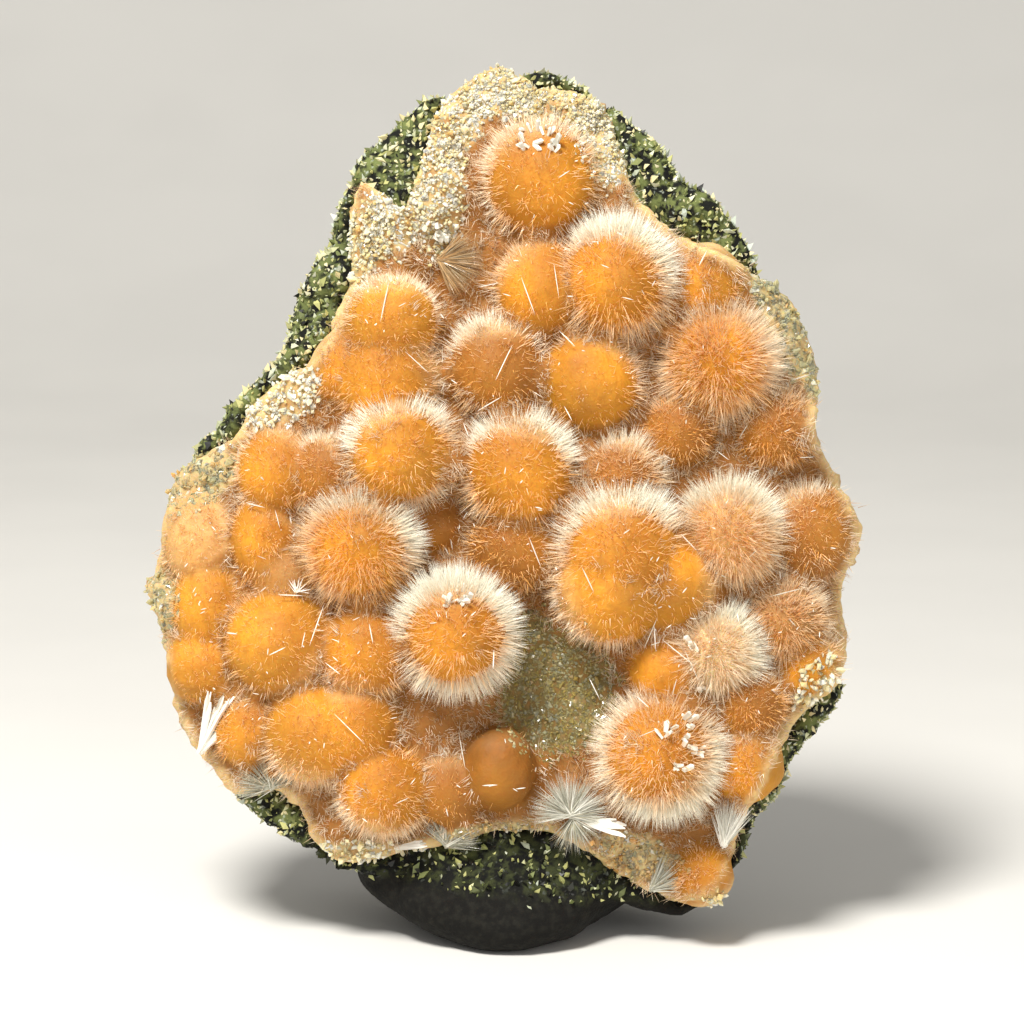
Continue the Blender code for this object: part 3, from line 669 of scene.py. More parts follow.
def remeshed(parts, voxel, smoothing):
    """One even closed skin round the parts, which are lists of (points, faces) in face coordinates."""
    mesh = bpy.data.meshes.new("parts")
    points = np.concatenate([part[0] for part in parts])
    starts = np.cumsum([0] + [len(part[0]) for part in parts])
    faces = [tuple(int(i) + start for i in face) for part, start in zip(parts, starts) for face in part[1]]
    mesh.from_pydata(points.tolist(), [], faces)
    helper = bpy.data.objects.new("parts", mesh)
    bpy.context.scene.collection.objects.link(helper)
    skin = helper.modifiers.new("Skin", "REMESH")
    skin.mode = "VOXEL"
    skin.voxel_size = voxel / MM
    soften = helper.modifiers.new("Soften", "SMOOTH")
    soften.factor = 0.5
    soften.iterations = smoothing
    evaluated = helper.evaluated_get(bpy.context.evaluated_depsgraph_get())
    made = bpy.data.meshes.new_from_object(evaluated)
    bpy.data.objects.remove(helper)
    return made


def node_part(node):
    """A CAD node's points in face coordinates, and its faces."""
    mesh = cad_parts[node].data
    return to_face(coordinates(mesh)), [tuple(polygon.vertices) for polygon in mesh.polygons]


def vertex_normals(mesh):
    """A mesh's vertex normals as rows of x, y and z."""
    found = np.empty(len(mesh.vertices) * 3, np.float32)
    mesh.vertex_normals.foreach_get("vector", found)
    return found.reshape(-1, 3).astype(float)


def place(mesh, points):
    """Moves a mesh's vertices to these face coordinates, in the specimen's own frame."""
    mesh.vertices.foreach_set("co", to_world(points).astype(np.float32).ravel())
    mesh.shade_smooth()
    mesh.update()


def core_part(ball, centre):
    """The points and faces of one ball's solid core."""
    bm = bmesh.new()
    bmesh.ops.create_icosphere(bm, subdivisions=4, radius=1.0)
    points = np.array([vert.co for vert in bm.verts])
    uneven = 1.0 + 0.05 * fractal(points, 0.9, ball.x)
    points = points * uneven[:, None] * ball.radius * ball.core
    points[:, 1] *= ball.stretch
    faces = [tuple(vert.index for vert in face.verts) for face in bm.faces]
    bm.free()
    return points + centre, faces


def sunk_crust():
    """The crust's solid with the faces of its balls drawn in below their cores, inside its own outline."""
    points, faces = node_part("thomsonite_crust")
    outside = distances(points) - RADII
    nearest = np.abs(outside).argmin(axis=1)
    ground = crust_height(points[:, 0], points[:, 1])
    on_ball = (np.abs(outside).min(axis=1) < 0.7) & (points[:, 2] > ground - 1.5)
    free = np.clip(inside_by(points) / 2.5, 0.0, 1.0)
    share = 1.0 - (1.0 - 0.9 * CORES[nearest] / RADII[nearest]) * free
    drawn_in = CENTRES[nearest] + (points - CENTRES[nearest]) * share[:, None]
    flattened = points.copy()
    flattened[:, 2] = np.minimum(points[:, 2], ground + 0.4)
    return np.where(on_ball[:, None], drawn_in, flattened), faces


def in_patch(patch, points):
    """How far inside a patch each point lies: 1 in its middle, 0 along its edge."""
    turn = math.radians(patch.turn_deg)
    x = points[:, 0] - patch.x
    v = points[:, 1] - patch.v
    along = (x * math.cos(turn) + v * math.sin(turn)) / patch.along
    across = (v * math.cos(turn) - x * math.sin(turn)) / patch.across
    return 1.0 - np.hypot(along, across)


def broken_side(points):
    """1 on the crust's broken side, below its face, and 0 on its face."""
    return step(crust_height(points[:, 0], points[:, 1]) - points[:, 2], 0.6, 2.2)


def fibre_bundles(points):
    """Random values from about -1 to 1 in streaks that run through the crust from its back to its face."""
    return fractal(points * (1.0, 1.0, 0.14), 1.3, 5.0)


def core_zones(points):
    """How far each point glows with painted light, lies in its core's painted shade and is pale under white
    needles, partly as painted light, each 0 to 1.
    """
    glow, shade, milk = np.zeros((3, len(points)))
    for ball, centre, core in zip(BALLS, CENTRES, CORES):
        turn = math.radians(ball.glow_deg)
        aside = np.array((math.cos(turn), math.sin(turn), 0.0))
        strength = 1.0 if ball.tone in ("honey", "amber") else 0.4
        bright = np.linalg.norm(points - centre - core * (0.5 * aside + (0.0, 0.0, 0.75)), axis=1)
        glow = np.maximum(glow, strength * np.exp(-((bright / (0.7 * core)) ** 2)))
        dark = np.linalg.norm(points - centre - core * ((0.0, 0.35, 0.85) - 0.3 * aside), axis=1)
        shade = np.maximum(shade, strength * np.exp(-((dark / (0.55 * core)) ** 2)))
        out = (points - centre) / core
        turn = math.radians(ball.aim_deg)
        towards = out[:, 0] * math.cos(turn) + out[:, 1] * math.sin(turn)
        near = 1.0 - step(np.linalg.norm(out, axis=1), 1.05, 1.2)
        # The milk zone on a core's white side: partly the roots of white needles, partly painted light.
        milk = np.maximum(milk, near * ball.white * step(towards - 0.3 * out[:, 2], 0.2, 0.9))
    return glow, shade, milk


def blended(colours, tone, share):
    """Moves each colour towards a tone, by its own share of the way."""
    return colours + (np.array(tone) - colours) * share[:, None]


def crust_tones(points, looks):
    """The colour of each point of the crust, from the ball it belongs to and how it lies to the light."""
    outside = distances(points) - CORES
    weights = np.exp(-np.clip(outside, 0.0, None) / 0.3)
    ground = np.clip(1.0 - weights.max(axis=1), 0.0, 1.0)
    tones = np.array([getattr(looks, ball.tone) for ball in BALLS])
    share = weights / np.maximum(weights.sum(axis=1, keepdims=True), 1e-6)
    glow, shade, milk = core_zones(points)
    colours = blended(share @ tones, looks.deep, 0.5 * shade)
    colours = blended(colours, looks.glow, 0.8 * glow * (1.0 - 0.6 * shade))
    colours = blended(colours, looks.milk, 0.85 * milk)
    # Between the balls the crust takes the ground colour: partly its own brown, partly painted shade in the
    # gaps.
    colours = blended(colours, looks.ground, ground)
    edge = 0.8 * ground * (1.0 - step(inside_by(points), 0.3, 1.6))
    colours = blended(colours, looks.rim, edge)
    side = broken_side(points)
    streaks = side * step(fibre_bundles(points) + 0.6 * fractal(points, 4.0, 9.0), -0.25, 0.45)
    stale = side * step(fractal(points, 5.0, 12.0), 0.0, 0.4)
    colours = blended(colours, looks.rim, 0.5 * side)
    colours = blended(colours, looks.ground, 0.9 * streaks)
    colours = blended(colours, looks.olive, 0.55 * stale)
    stain = step(fractal(points, 2.4, 6.0), -0.35, 0.3)
    for patch in DRUSE:
        under = step(in_patch(patch, points), -0.1, 0.25) * step(ground, 0.2, 0.8)
        tone = looks.olive if patch.tint < 0.2 else looks.cream
        if patch.tint > 0.7:
            under = under * (0.35 + 0.65 * stain)
        colours = blended(colours, tone, under)
    return colours


def how_old(points):
    """1 on the rock's weathered surface round the crust, and 0 on its freshly broken back."""
    behind = crust_height(points[:, 0], points[:, 1]) - points[:, 2]
    return 1.0 - step(behind + 2.5 * fractal(points, 6.0, 2.0), 5.5, 9.5)


def out_of_cleft_shade(points):
    """0 on the foot and in the dark cleft over it, where shade is painted under the crust's overhang, and 1
    well above them.
    """
    return step(to_world(points)[:, 2] / MM + 3.0 * fractal(points, 5.0, 7.0), 9.0, 14.0)


def on_foot(points):
    """1 on the fine dark rock that the specimen stands on, and 0 above it."""
    level = to_world(points)[:, 2] / MM + 0.1 * points[:, 0] + 0.8 * fractal(points, 4.0, 5.0)
    return 1.0 - step(level, 5.0, 6.5)


class Operator(bpy.types.Operator):
    """What the operators of this panel share"""

    bl_options = {"REGISTER", "UNDO"}


class THOMSONITE_OT_rock(Operator):
    """Makes the broken basalt that the crust grew on"""

    bl_idname = "thomsonite.rock"
    bl_label = "Basalt"

    def execute(self, context):
        looks = context.scene.thomsonite_rock
        mesh = remeshed([node_part("basalt_matrix")], looks.voxel, 2)
        points = coordinates(mesh)
        normals = vertex_normals(mesh)
        foot = on_foot(points)
        old = how_old(points)
        lumps = 0.6 * fractal(points, 5.0, 3.0, 4) + 0.4 * pebbles(points, 3.4, 2.0)
        grains = 0.6 * pebbles(points, 1.7, 5.0) + 0.4 * pebbles(points, 0.9, 9.0)
        scoops = 0.3 - 0.8 * pebbles(points, 12.0, 4.0) + 0.3 * fractal(points, 3.5, 7.0, 4)
        weathered = lumps * looks.lumps + grains * looks.grains
        fresh = scoops * looks.scoops + 0.2 * grains * looks.grains
        rise = 0.2 + (fresh + (weathered - fresh) * old) * (1.0 - 0.75 * foot) / MM
        rise *= step(to_world(points)[:, 2], 0.0, 1.2 * MM)
        moved = points + normals * rise[:, None]
        world = to_world(moved)
        world[:, 2] = np.maximum(world[:, 2], 0.0)
        place(mesh, to_face(world))
        # Painted shade: the shaded relief is dimmed in the cleft under the crust's overhang.
        lit = 0.25 + 0.75 * out_of_cleft_shade(points)
        set_values(mesh, "shaded_relief", lit * np.clip(0.55 + 0.7 * grains + 0.35 * lumps, 0.0, 1.0))
        set_values(mesh, "foot", foot)
        set_values(mesh, "old", old)
        add_piece("basalt", mesh, basalt_material(looks), "basalt", "basalt_matrix")
        self.add_grains(looks)
        return {"FINISHED"}

    def add_grains(self, looks):
        """Sets thin weathered grains on the old part of the rock. They lean up along its face."""
        rng = np.random.default_rng(looks.seed)
        roots, normals = sampled("basalt", looks.loose, rng)
        # Grains are fewer in the cleft under the crust, so that its painted shade stays dark.
        cleft = 0.5 + 0.5 * out_of_cleft_shade(roots)
        kept = rng.random(len(roots)) < how_old(roots) * (1.0 - on_foot(roots)) * cleft
        roots, normals = roots[kept], normals[kept]
        count = len(roots)
        sizes = np.clip(0.38 * np.exp(rng.normal(0.0, 0.45, count)), 0.16, 0.9)
        bedding = normals * 0.4 + np.array((0.2, 0.5, 0.0))
        directions = unit(bedding + rng.normal(0.0, 0.7, normals.shape)) * (sizes * 1.6)[:, None]
        # Grain tints run darker in the cleft under the crust: painted shade.
        patches = 0.2 + 0.4 * out_of_cleft_shade(roots) + 0.5 * fractal(roots, 3.0, 8.0)
        tints = np.clip(patches + rng.normal(0.0, 0.26, count), 0.0, 1.0)
        mesh = crystals(SHARD_FORM, roots - directions * 0.35, directions, sizes, sizes * 0.7, tints, rng)
        add_piece("basalt_grains", mesh, grains_material(looks), "basalt")


class THOMSONITE_OT_crust(Operator):
    """Makes the solid part of the crust: the balls' cores, and what they grew from"""

    bl_idname = "thomsonite.crust"
    bl_label = "Crust"

    def execute(self, context):
        looks = context.scene.thomsonite_crust
        parts = [sunk_crust()] + [core_part(ball, centre) for ball, centre in zip(BALLS, CENTRES)]
        mesh = remeshed(parts, looks.voxel, 4)
        points = coordinates(mesh)
        open_crust = step((distances(points) - CORES).min(axis=1), 0.1, 0.8)
        face = 0.16 * fractal(points, 1.6, 1.0) + 0.45 * open_crust * pebbles(points, 1.8, 3.0)
        side = broken_side(points)
        rise = face + (0.7 * fibre_bundles(points) + 0.3 * fractal(points, 5.0, 8.0) - face) * side
        points += vertex_normals(mesh) * rise[:, None]
        place(mesh, points)
        tones = np.ones((len(points), 4), np.float32)
        tones[:, :3] = crust_tones(points, looks)
        mesh.attributes.new("tone", "FLOAT_COLOR", "POINT").data.foreach_set("color", tones.ravel())
        add_piece("crust", mesh, crust_material(looks), "thomsonite", "thomsonite_crust")
        return {"FINISHED"}


NEEDLE_FORM = (
    np.array([(0.5, 0.0, 0.0), (-0.25, 0.43, 0.0), (-0.25, -0.43, 0.0), (0.0, 0.0, 1.0)]),
    np.array([(0, 1, 3), (1, 2, 3), (2, 0, 3), (2, 1, 0)]),
)


def stacked(rings, tip):
    """A closed form of four-sided rings, one above the other, with a tip on the last."""
    points = [(x, y, z) for z, ring in rings for x, y in ring] + [tip]
    faces = [(0, 2, 1), (0, 3, 2)]
    for low in range(0, 4 * (len(rings) - 1), 4):
        for i in range(4):
            j = (i + 1) % 4
            faces += [(low + i, low + j, low + 4 + j), (low + i, low + 4 + j, low + 4 + i)]
    last = 4 * (len(rings) - 1)
    faces += [(last + i, last + (i + 1) % 4, last + 4) for i in range(4)]
    return np.array(points), np.array(faces)


def square(half, turn_deg=0.0):
    """The corners of a square whose sides lie half away from its middle."""
    turns = [math.radians(turn_deg + 45.0 + 90.0 * i) for i in range(4)]
    return [(half * 1.41 * math.cos(turn), half * 1.41 * math.sin(turn)) for turn in turns]


# A stout crystal with a slanting end
BLOCK_FORM = stacked([(0.0, square(0.42)), (0.8, square(0.5, 10.0))], (0.2, 0.1, 1.0))
# A needle that thins out towards both of its ends
SPLINTER_FORM = stacked([(0.0, square(0.12)), (0.3, square(0.5)), (0.75, square(0.42))], (0.0, 0.0, 1.0))
# A thin grain that is pointed at both ends
SHARD_FORM = (
    np.array([(0.0, 0.0, 0.0), (0.5, 0.0, 0.35), (-0.3, 0.45, 0.45), (-0.25, -0.45, 0.5), (0.0, 0.0, 1.0)]),
    np.array([(0, 2, 1), (0, 3, 2), (0, 1, 3), (4, 1, 2), (4, 2, 3), (4, 3, 1)]),
)
# A flat blade that ends in a slanting edge
BLADE_FORM = (
    np.array([(-0.3, -0.5, 0.0), (0.3, -0.5, 0.0), (0.3, 0.5, 0.0), (-0.3, 0.5, 0.0),
              (-0.5, -0.5, 0.85), (0.5, -0.5, 0.75), (0.5, 0.5, 0.75), (-0.5, 0.5, 0.85),
              (0.1, -0.35, 1.0), (0.1, 0.35, 1.0)]),
    np.array([(0, 1, 5), (0, 5, 4), (1, 2, 6), (1, 6, 5), (2, 3, 7), (2, 7, 6), (3, 0, 4), (3, 4, 7),
              (4, 5, 8), (5, 6, 9), (5, 9, 8), (6, 7, 9), (7, 4, 8), (7, 8, 9), (0, 2, 1), (0, 3, 2)]),
)


def unit(vectors):
    """Each row at length 1."""
    return vectors / np.linalg.norm(vectors, axis=1, keepdims=True)


def crystals(form, roots, directions, widths, thicknesses, tints, rng):
    """A mesh of many crystals of one form. directions are as long as the crystals."""
    shape, faces = form
    along = unit(directions)
    side = unit(np.cross(along, rng.normal(size=along.shape)))
    other = np.cross(along, side)
    points = (
        roots[:, None, :]
        + shape[None, :, 0:1] * (side * widths[:, None])[:, None, :]
        + shape[None, :, 1:2] * (other * thicknesses[:, None])[:, None, :]
        + shape[None, :, 2:3] * directions[:, None, :]
    )
    count = len(roots)
    all_faces = (faces[None, :, :] + (np.arange(count) * len(shape))[:, None, None]).reshape(-1, 3)
    mesh = bpy.data.meshes.new("crystals")
    mesh.from_pydata(to_world(points.reshape(-1, 3)).tolist(), [], all_faces.tolist())
    set_values(mesh, "tint", np.repeat(tints, len(shape)))
    set_values(mesh, "along", np.tile(shape[:, 2], count))
    add_map(mesh, shape, faces, tints)
    return mesh


def add_map(mesh, shape, faces, tints):
    """A UV map in which a crystal lies at its tint, root to tip, so that all its colours are on the map."""
    flat = np.stack(
        [0.003 * (shape[:, 0] + 0.5 * shape[:, 1]), 0.02 + 0.95 * shape[:, 2] + 0.004 * shape[:, 1]], axis=1
    )
    corners = np.tile(flat[faces.ravel()], (len(tints), 1))
    corners[:, 0] += np.repeat(0.01 + 0.98 * np.clip(tints, 0.0, 1.0), faces.size)
    mesh.uv_layers.new(name="OFBake").uv.foreach_set("vector", corners.astype(np.float32).ravel())


def needles_of(ball, centre, looks, rng):
    """Roots, directions, widths and tints of one ball's needles, before the buried ones are left out."""
    cover = ball.hair * (0.6 + 0.4 * ball.white)
    count = int(looks.density * cover * 4.0 * math.pi * ball.radius**2 * (0.5 + 0.5 * ball.stretch))
    clumps = unit(rng.normal(size=(count // looks.clump + 1, 3)))
    chosen = rng.integers(len(clumps), size=count)
    turn = math.radians(ball.aim_deg)
    # sides is 1 on a ball's white side, which is partly its needles' own white and partly painted light.
    sides = step(clumps @ np.array((math.cos(turn), math.sin(turn), 0.0)), -0.25, 0.7)
    ahead = (1.0 - ball.fluff) * step(clumps[:, 2] - 0.3 * ball.white * sides, 0.05, 0.5)
    chosen = chosen[rng.random(count) > ahead[chosen]]
    count = len(chosen)
    out = unit(clumps[chosen] + rng.normal(0.0, 0.08, (count, 3)))
    tips = unit(0.4 * out + 0.6 * clumps[chosen] + rng.normal(0.0, 0.03, out.shape))
    side = sides[chosen]
    # Each needle's whiteness: its own white plus painted light on the lit side, less on the dull sides as
    # painted shade and where it points out of the face.
    white = ball.white * (ball.round + (1.0 - ball.round) * side) * (1.0 - 0.85 * ahead[chosen])
    uneven = rng.normal(0.0, 1.0, len(clumps))[chosen]
    reach = 1.0 - 0.16 * rng.random(count) ** 1.3 - 0.04 * (1.0 - side) + 0.03 * uneven
    long = rng.random(count) < 0.08 + 0.16 * white
    reach = np.where(long, 1.03 + 0.15 * rng.random(count), np.minimum(reach, 1.05))
    oval = np.array((1.0, ball.stretch, 1.0))
    roots = centre + out * oval * (ball.radius * ball.core * 0.96)
    ends = centre + tips * oval * (ball.radius * reach)[:, None]
    widths = looks.width / MM * (0.65 + 0.5 * rng.random(count)) * (0.85 + 0.45 * white)
    tints = np.clip(white + 0.1 * uneven + rng.normal(0.0, 0.08, count), 0.02, 1.0)
    return roots, ends - roots, widths, tints


def clear_of_others(index, ends):
    """Which ends lie outside the other balls' cores, above the crust and inside its outline."""
    inside = distances(ends) < CORES * 0.99
    inside[:, index] = False
    above = ends[:, 2] > crust_height(ends[:, 0], ends[:, 1]) + 0.1
    return ~inside.any(axis=1) & above & (inside_by(ends) > 0.1)


NEEDLE_GROUPS = {
    "needles_upper": lambda ball: ball.v > 54.0,
    "needles_left": lambda ball: ball.v <= 54.0 and ball.x < -9.0,
    "needles_middle": lambda ball: ball.v <= 54.0 and -9.0 <= ball.x < 11.5,
    "needles_right": lambda ball: ball.v <= 54.0 and ball.x >= 11.5,
}


class THOMSONITE_OT_needles(Operator):
    """Makes the needles of all the balls"""

    bl_idname = "thomsonite.needles"
    bl_label = "Needles"

    def execute(self, context):
        looks = context.scene.thomsonite_needles
        material = needle_material("thomsonite_needle", looks.root, looks.shaft, looks.tip)
        for name, belongs in NEEDLE_GROUPS.items():
            rng = np.random.default_rng(looks.seed)
            found = []
            for index, (ball, centre) in enumerate(zip(BALLS, CENTRES)):
                if belongs(ball):
                    roots, directions, widths, tints = needles_of(ball, centre, looks, rng)
                    kept = clear_of_others(index, roots + directions)
                    found.append((roots[kept], directions[kept], widths[kept], tints[kept]))
            roots, directions, widths, tints = (np.concatenate(values) for values in zip(*found))
            mesh = crystals(NEEDLE_FORM, roots, directions, widths, widths, tints, rng)
            add_piece(name, mesh, material, "thomsonite")
        return {"FINISHED"}


def sampled(name, count, rng):
    """Random places all over a piece's surface, in face coordinates, with its normals there."""
    mesh = bpy.data.objects[name].data
    areas = np.empty(len(mesh.polygons), np.float32)
    middles = np.empty(len(mesh.polygons) * 3, np.float32)
    normals = np.empty(len(mesh.polygons) * 3, np.float32)
    mesh.polygons.foreach_get("area", areas)
    mesh.polygons.foreach_get("center", middles)
    mesh.polygons.foreach_get("normal", normals)
    chosen = rng.choice(len(areas), count, p=areas.astype(float) / areas.sum(dtype=float))
    middles = middles.reshape(-1, 3)[chosen].astype(float)
    roots = to_face(middles)
    ends = to_face(middles + normals.reshape(-1, 3)[chosen].astype(float) * MM)
    return roots, unit(ends - roots)


def face_tree(name):
    """A piece's surface in face coordinates, for finding places on it."""
    mesh = bpy.data.objects[name].data
    points = to_face(coordinates(mesh))
    return BVHTree.FromPolygons(points.tolist(), [tuple(polygon.vertices) for polygon in mesh.polygons])


def on_surface(tree, places):
    """Where lines straight into the face at (x, v) first meet a surface, with its normals there."""
    hits = [tree.ray_cast(Vector((x, v, ABOVE_ALL)), Vector((0.0, 0.0, -1.0))) for x, v in places]
    found = [(tuple(hit[0]), tuple(hit[1])) for hit in hits if hit[0] is not None]
    if not found:
        raise RuntimeError("no place on the crust was found")
    return np.array([point for point, normal in found]), np.array([normal for point, normal in found])


class THOMSONITE_OT_undergrowth(Operator):
    """Covers the crust between the balls with small bundles of short needles"""

    bl_idname = "thomsonite.undergrowth"
    bl_label = "Undergrowth"

    def execute(self, context):
        looks = context.scene.thomsonite_needles
        rng = np.random.default_rng(looks.seed + 2)
        low, high = to_face(np.array([tuple(corner) for corner in CAD_BOX]))[:, :2]
        places = low + (high - low) * rng.random((looks.bundles, 2))
        bases, normals = on_surface(face_tree("crust"), places)
        open_crust = (distances(bases) - CORES).min(axis=1) > 0.1
        bare = np.max([in_patch(patch, bases) for patch in DRUSE], axis=0) < 0.12
        kept = open_crust & bare & (inside_by(bases) > 0.4)
        bases, normals = bases[kept], normals[kept]
        paleness = 0.4 + 0.35 * fractal(bases, 6.0, 4.0)
        each = looks.bundle
        roots = np.repeat(bases, each, axis=0) - np.repeat(normals, each, axis=0) * 0.15
        roots += rng.normal(0.0, 0.3, roots.shape) * (1.0, 1.0, 0.0)
        lean = np.repeat(rng.normal(0.0, 0.4, bases.shape), each, axis=0)
        out = unit(np.repeat(normals, each, axis=0) + lean + rng.normal(0.0, 0.2, roots.shape))
        lengths = 0.7 + 0.9 * rng.random(len(roots))
        widths = looks.width / MM * (0.65 + 0.4 * rng.random(len(roots)))
        tints = np.clip(np.repeat(paleness, each) + rng.normal(0.0, 0.14, len(roots)), 0.02, 1.0)
        mesh = crystals(NEEDLE_FORM, roots, out * lengths[:, None], widths, widths, tints, rng)
        material = needle_material("thomsonite_short_needle", looks.low_root, looks.low_shaft, looks.tip)
        add_piece("undergrowth", mesh, material, "thomsonite")
        return {"FINISHED"}


def scattered(patch, looks, rng):
    """Random places in a patch, thinning out along its edge."""
    area = math.pi * patch.along * patch.across
    count = int(looks.density * area / patch.grain**2)
    turn = math.radians(patch.turn_deg)
    radius = np.sqrt(rng.random(count)) * (1.0 + rng.normal(0.0, 0.12, count))
    angle = rng.random(count) * math.tau
    along = patch.along * radius * np.cos(angle)
    across = patch.across * radius * np.sin(angle)
    x = patch.x + along * math.cos(turn) - across * math.sin(turn)
    v = patch.v + along * math.sin(turn) + across * math.cos(turn)
    return np.stack([x, v], axis=1)


class THOMSONITE_OT_druse(Operator):
    """Sets small blocky crystals on the crust's rim and in its hollow"""

    bl_idname = "thomsonite.druse"
    bl_label = "Druse"

    def execute(self, context):
        looks = context.scene.thomsonite_druse
        rng = np.random.default_rng(looks.seed)
        tree = face_tree("crust")
        found = []
        for patch in DRUSE:
            roots, normals = on_surface(tree, scattered(patch, looks, rng))
            count = len(roots)
            sizes = patch.grain * np.exp(rng.normal(0.0, 0.3, count))
            long = rng.random(count) < 0.65 * patch.tint
            reach = sizes * np.where(long, 2.3, 1.1)
            sizes = np.where(long, 0.6 * sizes, sizes)
            directions = unit(normals + rng.normal(0.0, 0.6, normals.shape)) * reach[:, None]
            stain = (0.25 if patch.tint > 0.6 else 0.1) * fractal(roots, 2.4, 6.0)
            tints = np.clip(patch.tint + stain + rng.normal(0.0, 0.07, count), 0.0, 1.0)
            # A tenth of the crystals are made paler, as painted glints.
            tints = np.where(rng.random(count) < 0.1, np.minimum(tints + 0.6, 1.0), tints)
            roots = roots - normals * (0.4 * sizes)[:, None] - directions * 0.45
            found.append((roots, directions, sizes, tints))
        roots, directions, sizes, tints = (np.concatenate(values) for values in zip(*found))
        thicknesses = sizes * (0.6 + 0.4 * rng.random(len(sizes)))
        mesh = crystals(BLOCK_FORM, roots, directions, sizes, thicknesses, tints, rng)
        add_piece("druse", mesh, druse_material(looks), "thomsonite")
        return {"FINISHED"}


class THOMSONITE_OT_blades(Operator):
    """Makes the sprays of blades, the tufts and the loose needles"""

    bl_idname = "thomsonite.blades"
    bl_label = "Blades and loose needles"

    def execute(self, context):
        looks = context.scene.thomsonite_druse
        rng = np.random.default_rng(looks.seed + 1)
        material = blade_material(looks)
        tree = face_tree("crust")
        self.add_sprays(tree, material, rng)
        self.add_tufts(tree, material, rng)
        self.add_loose(tree, material, rng)
        return {"FINISHED"}

    def add_sprays(self, tree, material, rng):
        """Blades and fine needles that spread from the roots of the sprays."""
        found = []
        for spray in SPRAYS:
            share = (np.arange(spray.blades) + 0.5) / spray.blades - 0.5
            aim = np.radians(spray.aim_deg + share * spray.spread_deg + rng.normal(0.0, 3.0, spray.blades))
            lift = np.radians(3.0 + 20.0 * rng.random(spray.blades))
            reach = spray.length * (0.6 + 0.4 * rng.random(spray.blades)) * (1.0 - 0.35 * share**2)
            flat = np.cos(lift)
            directions = np.stack([np.cos(aim) * flat, np.sin(aim) * flat, np.sin(lift)], axis=1)
            root, normal = on_surface(tree, [(spray.x, spray.v)])
            roots = root + (0.0, 0.0, spray.rise) + rng.normal(0.0, 0.12, directions.shape)
            widths = spray.width * (0.7 + 0.5 * rng.random(spray.blades))
            tints = np.clip(spray.tint + rng.normal(0.0, 0.12, spray.blades), 0.0, 1.0)
            found.append((roots, directions * reach[:, None], widths, tints))
        for name, form, wide in (("sprays", BLADE_FORM, True), ("fans", NEEDLE_FORM, False)):
            kept = [part for part, spray in zip(found, SPRAYS) if (spray.width >= FINEST_BLADE) == wide]
            roots, directions, widths, tints = (np.concatenate(values) for values in zip(*kept))
            mesh = crystals(form, roots, directions, widths, widths * 0.5, tints, rng)
            add_piece(name, mesh, material, "thomsonite")

    def add_tufts(self, tree, material, rng):
        """Clusters of small white crystals that stand on the balls."""
        places = [rng.normal((x, v), spread * 0.5, (count, 2)) for x, v, spread, count in TUFTS]
        roots, normals = on_surface(tree, np.concatenate(places))
        count = len(roots)
        out = unit(normals + rng.normal(0.0, 0.5, normals.shape))
        sizes = 0.25 + 0.3 * rng.random(count)
        directions = out * (sizes * 2.6)[:, None]
        tints = 0.7 + 0.3 * rng.random(count)
        mesh = crystals(BLOCK_FORM, roots, directions, sizes, sizes * 0.6, tints, rng)
        add_piece("tufts", mesh, material, "thomsonite")

    def add_loose(self, tree, material, rng):
        """Long loose needles from place to place, and short ones strewn between them."""
        starts, start_normals = on_surface(tree, [first for first, last in LOOSE_NEEDLES])
        ends, end_normals = on_surface(tree, [last for first, last in LOOSE_NEEDLES])
        starts = starts + start_normals * 0.8
        reaches = ends + end_normals * 0.8 - starts
        middles, normals = self.strewn(tree, rng)
        sides = unit(np.cross(normals, rng.normal(size=normals.shape))) + 0.5 * normals
        lengths = np.minimum(0.25 * np.exp(rng.normal(0.6, 0.7, len(middles))), LONGEST_STREWN)
        short = unit(sides) * lengths[:, None]
        starts = np.concatenate([starts, middles + normals * 0.6])
        reaches = np.concatenate([reaches, short])
        widths = 0.06 + 0.04 * rng.random(len(starts))
        tints = 0.75 + 0.25 * rng.random(len(starts))
        mesh = crystals(SPLINTER_FORM, starts, reaches, widths, widths, tints, rng)
        add_piece("loose_needles", mesh, material, "thomsonite")

    def strewn(self, tree, rng):
        """Random places on the balls for short loose needles."""
        places = rng.uniform(*STREWN_AREA, (STREWN_PLACES, 2))
        middles, normals = on_surface(tree, places)
        on_ball = ((distances(middles) - CORES).min(axis=1) < 0.5) & (inside_by(middles) > 3.0)
        return middles[on_ball], normals[on_ball]


# Where the picture's middle lies on the face, and how much of the face its width takes in
PICTURE_MIDDLE = (1.15, 44.3)
PICTURE_WIDTH = 102.4
SENSOR_WIDTH = 36.0

# The lights in metres: where each stands, how wide it is and its tint. Both point at LIT_POINT.
LIT_POINT = (0.0, 0.0, 0.045)
KEY_LIGHT = ((-0.14, -0.26, 0.48), 0.16, (1.0, 0.98, 0.94))
FILL_LIGHT = ((0.26, -0.5, 0.1), 0.5, (1.0, 1.0, 1.0))
SKY_TINT = (1.0, 0.99, 0.97)
SKY_STRENGTH = 0.38

# The floor in metres: how far it reaches to the front and to each side
FLOOR_FRONT = -1.2
FLOOR_SIDE = 1.6


def add_light(name, power, place, size, tint):
    """A round soft light that points at the specimen."""
    data = bpy.data.lights.new(name, "AREA")
    data.shape = "DISK"
    data.size = size
    data.energy = power
    data.color = tint
    light = bpy.data.objects.new(name, data)
    light.location = place
    light.rotation_euler = (Vector(LIT_POINT) - Vector(place)).to_track_quat("-Z", "Y").to_euler()
    bpy.context.scene.collection.objects.link(light)


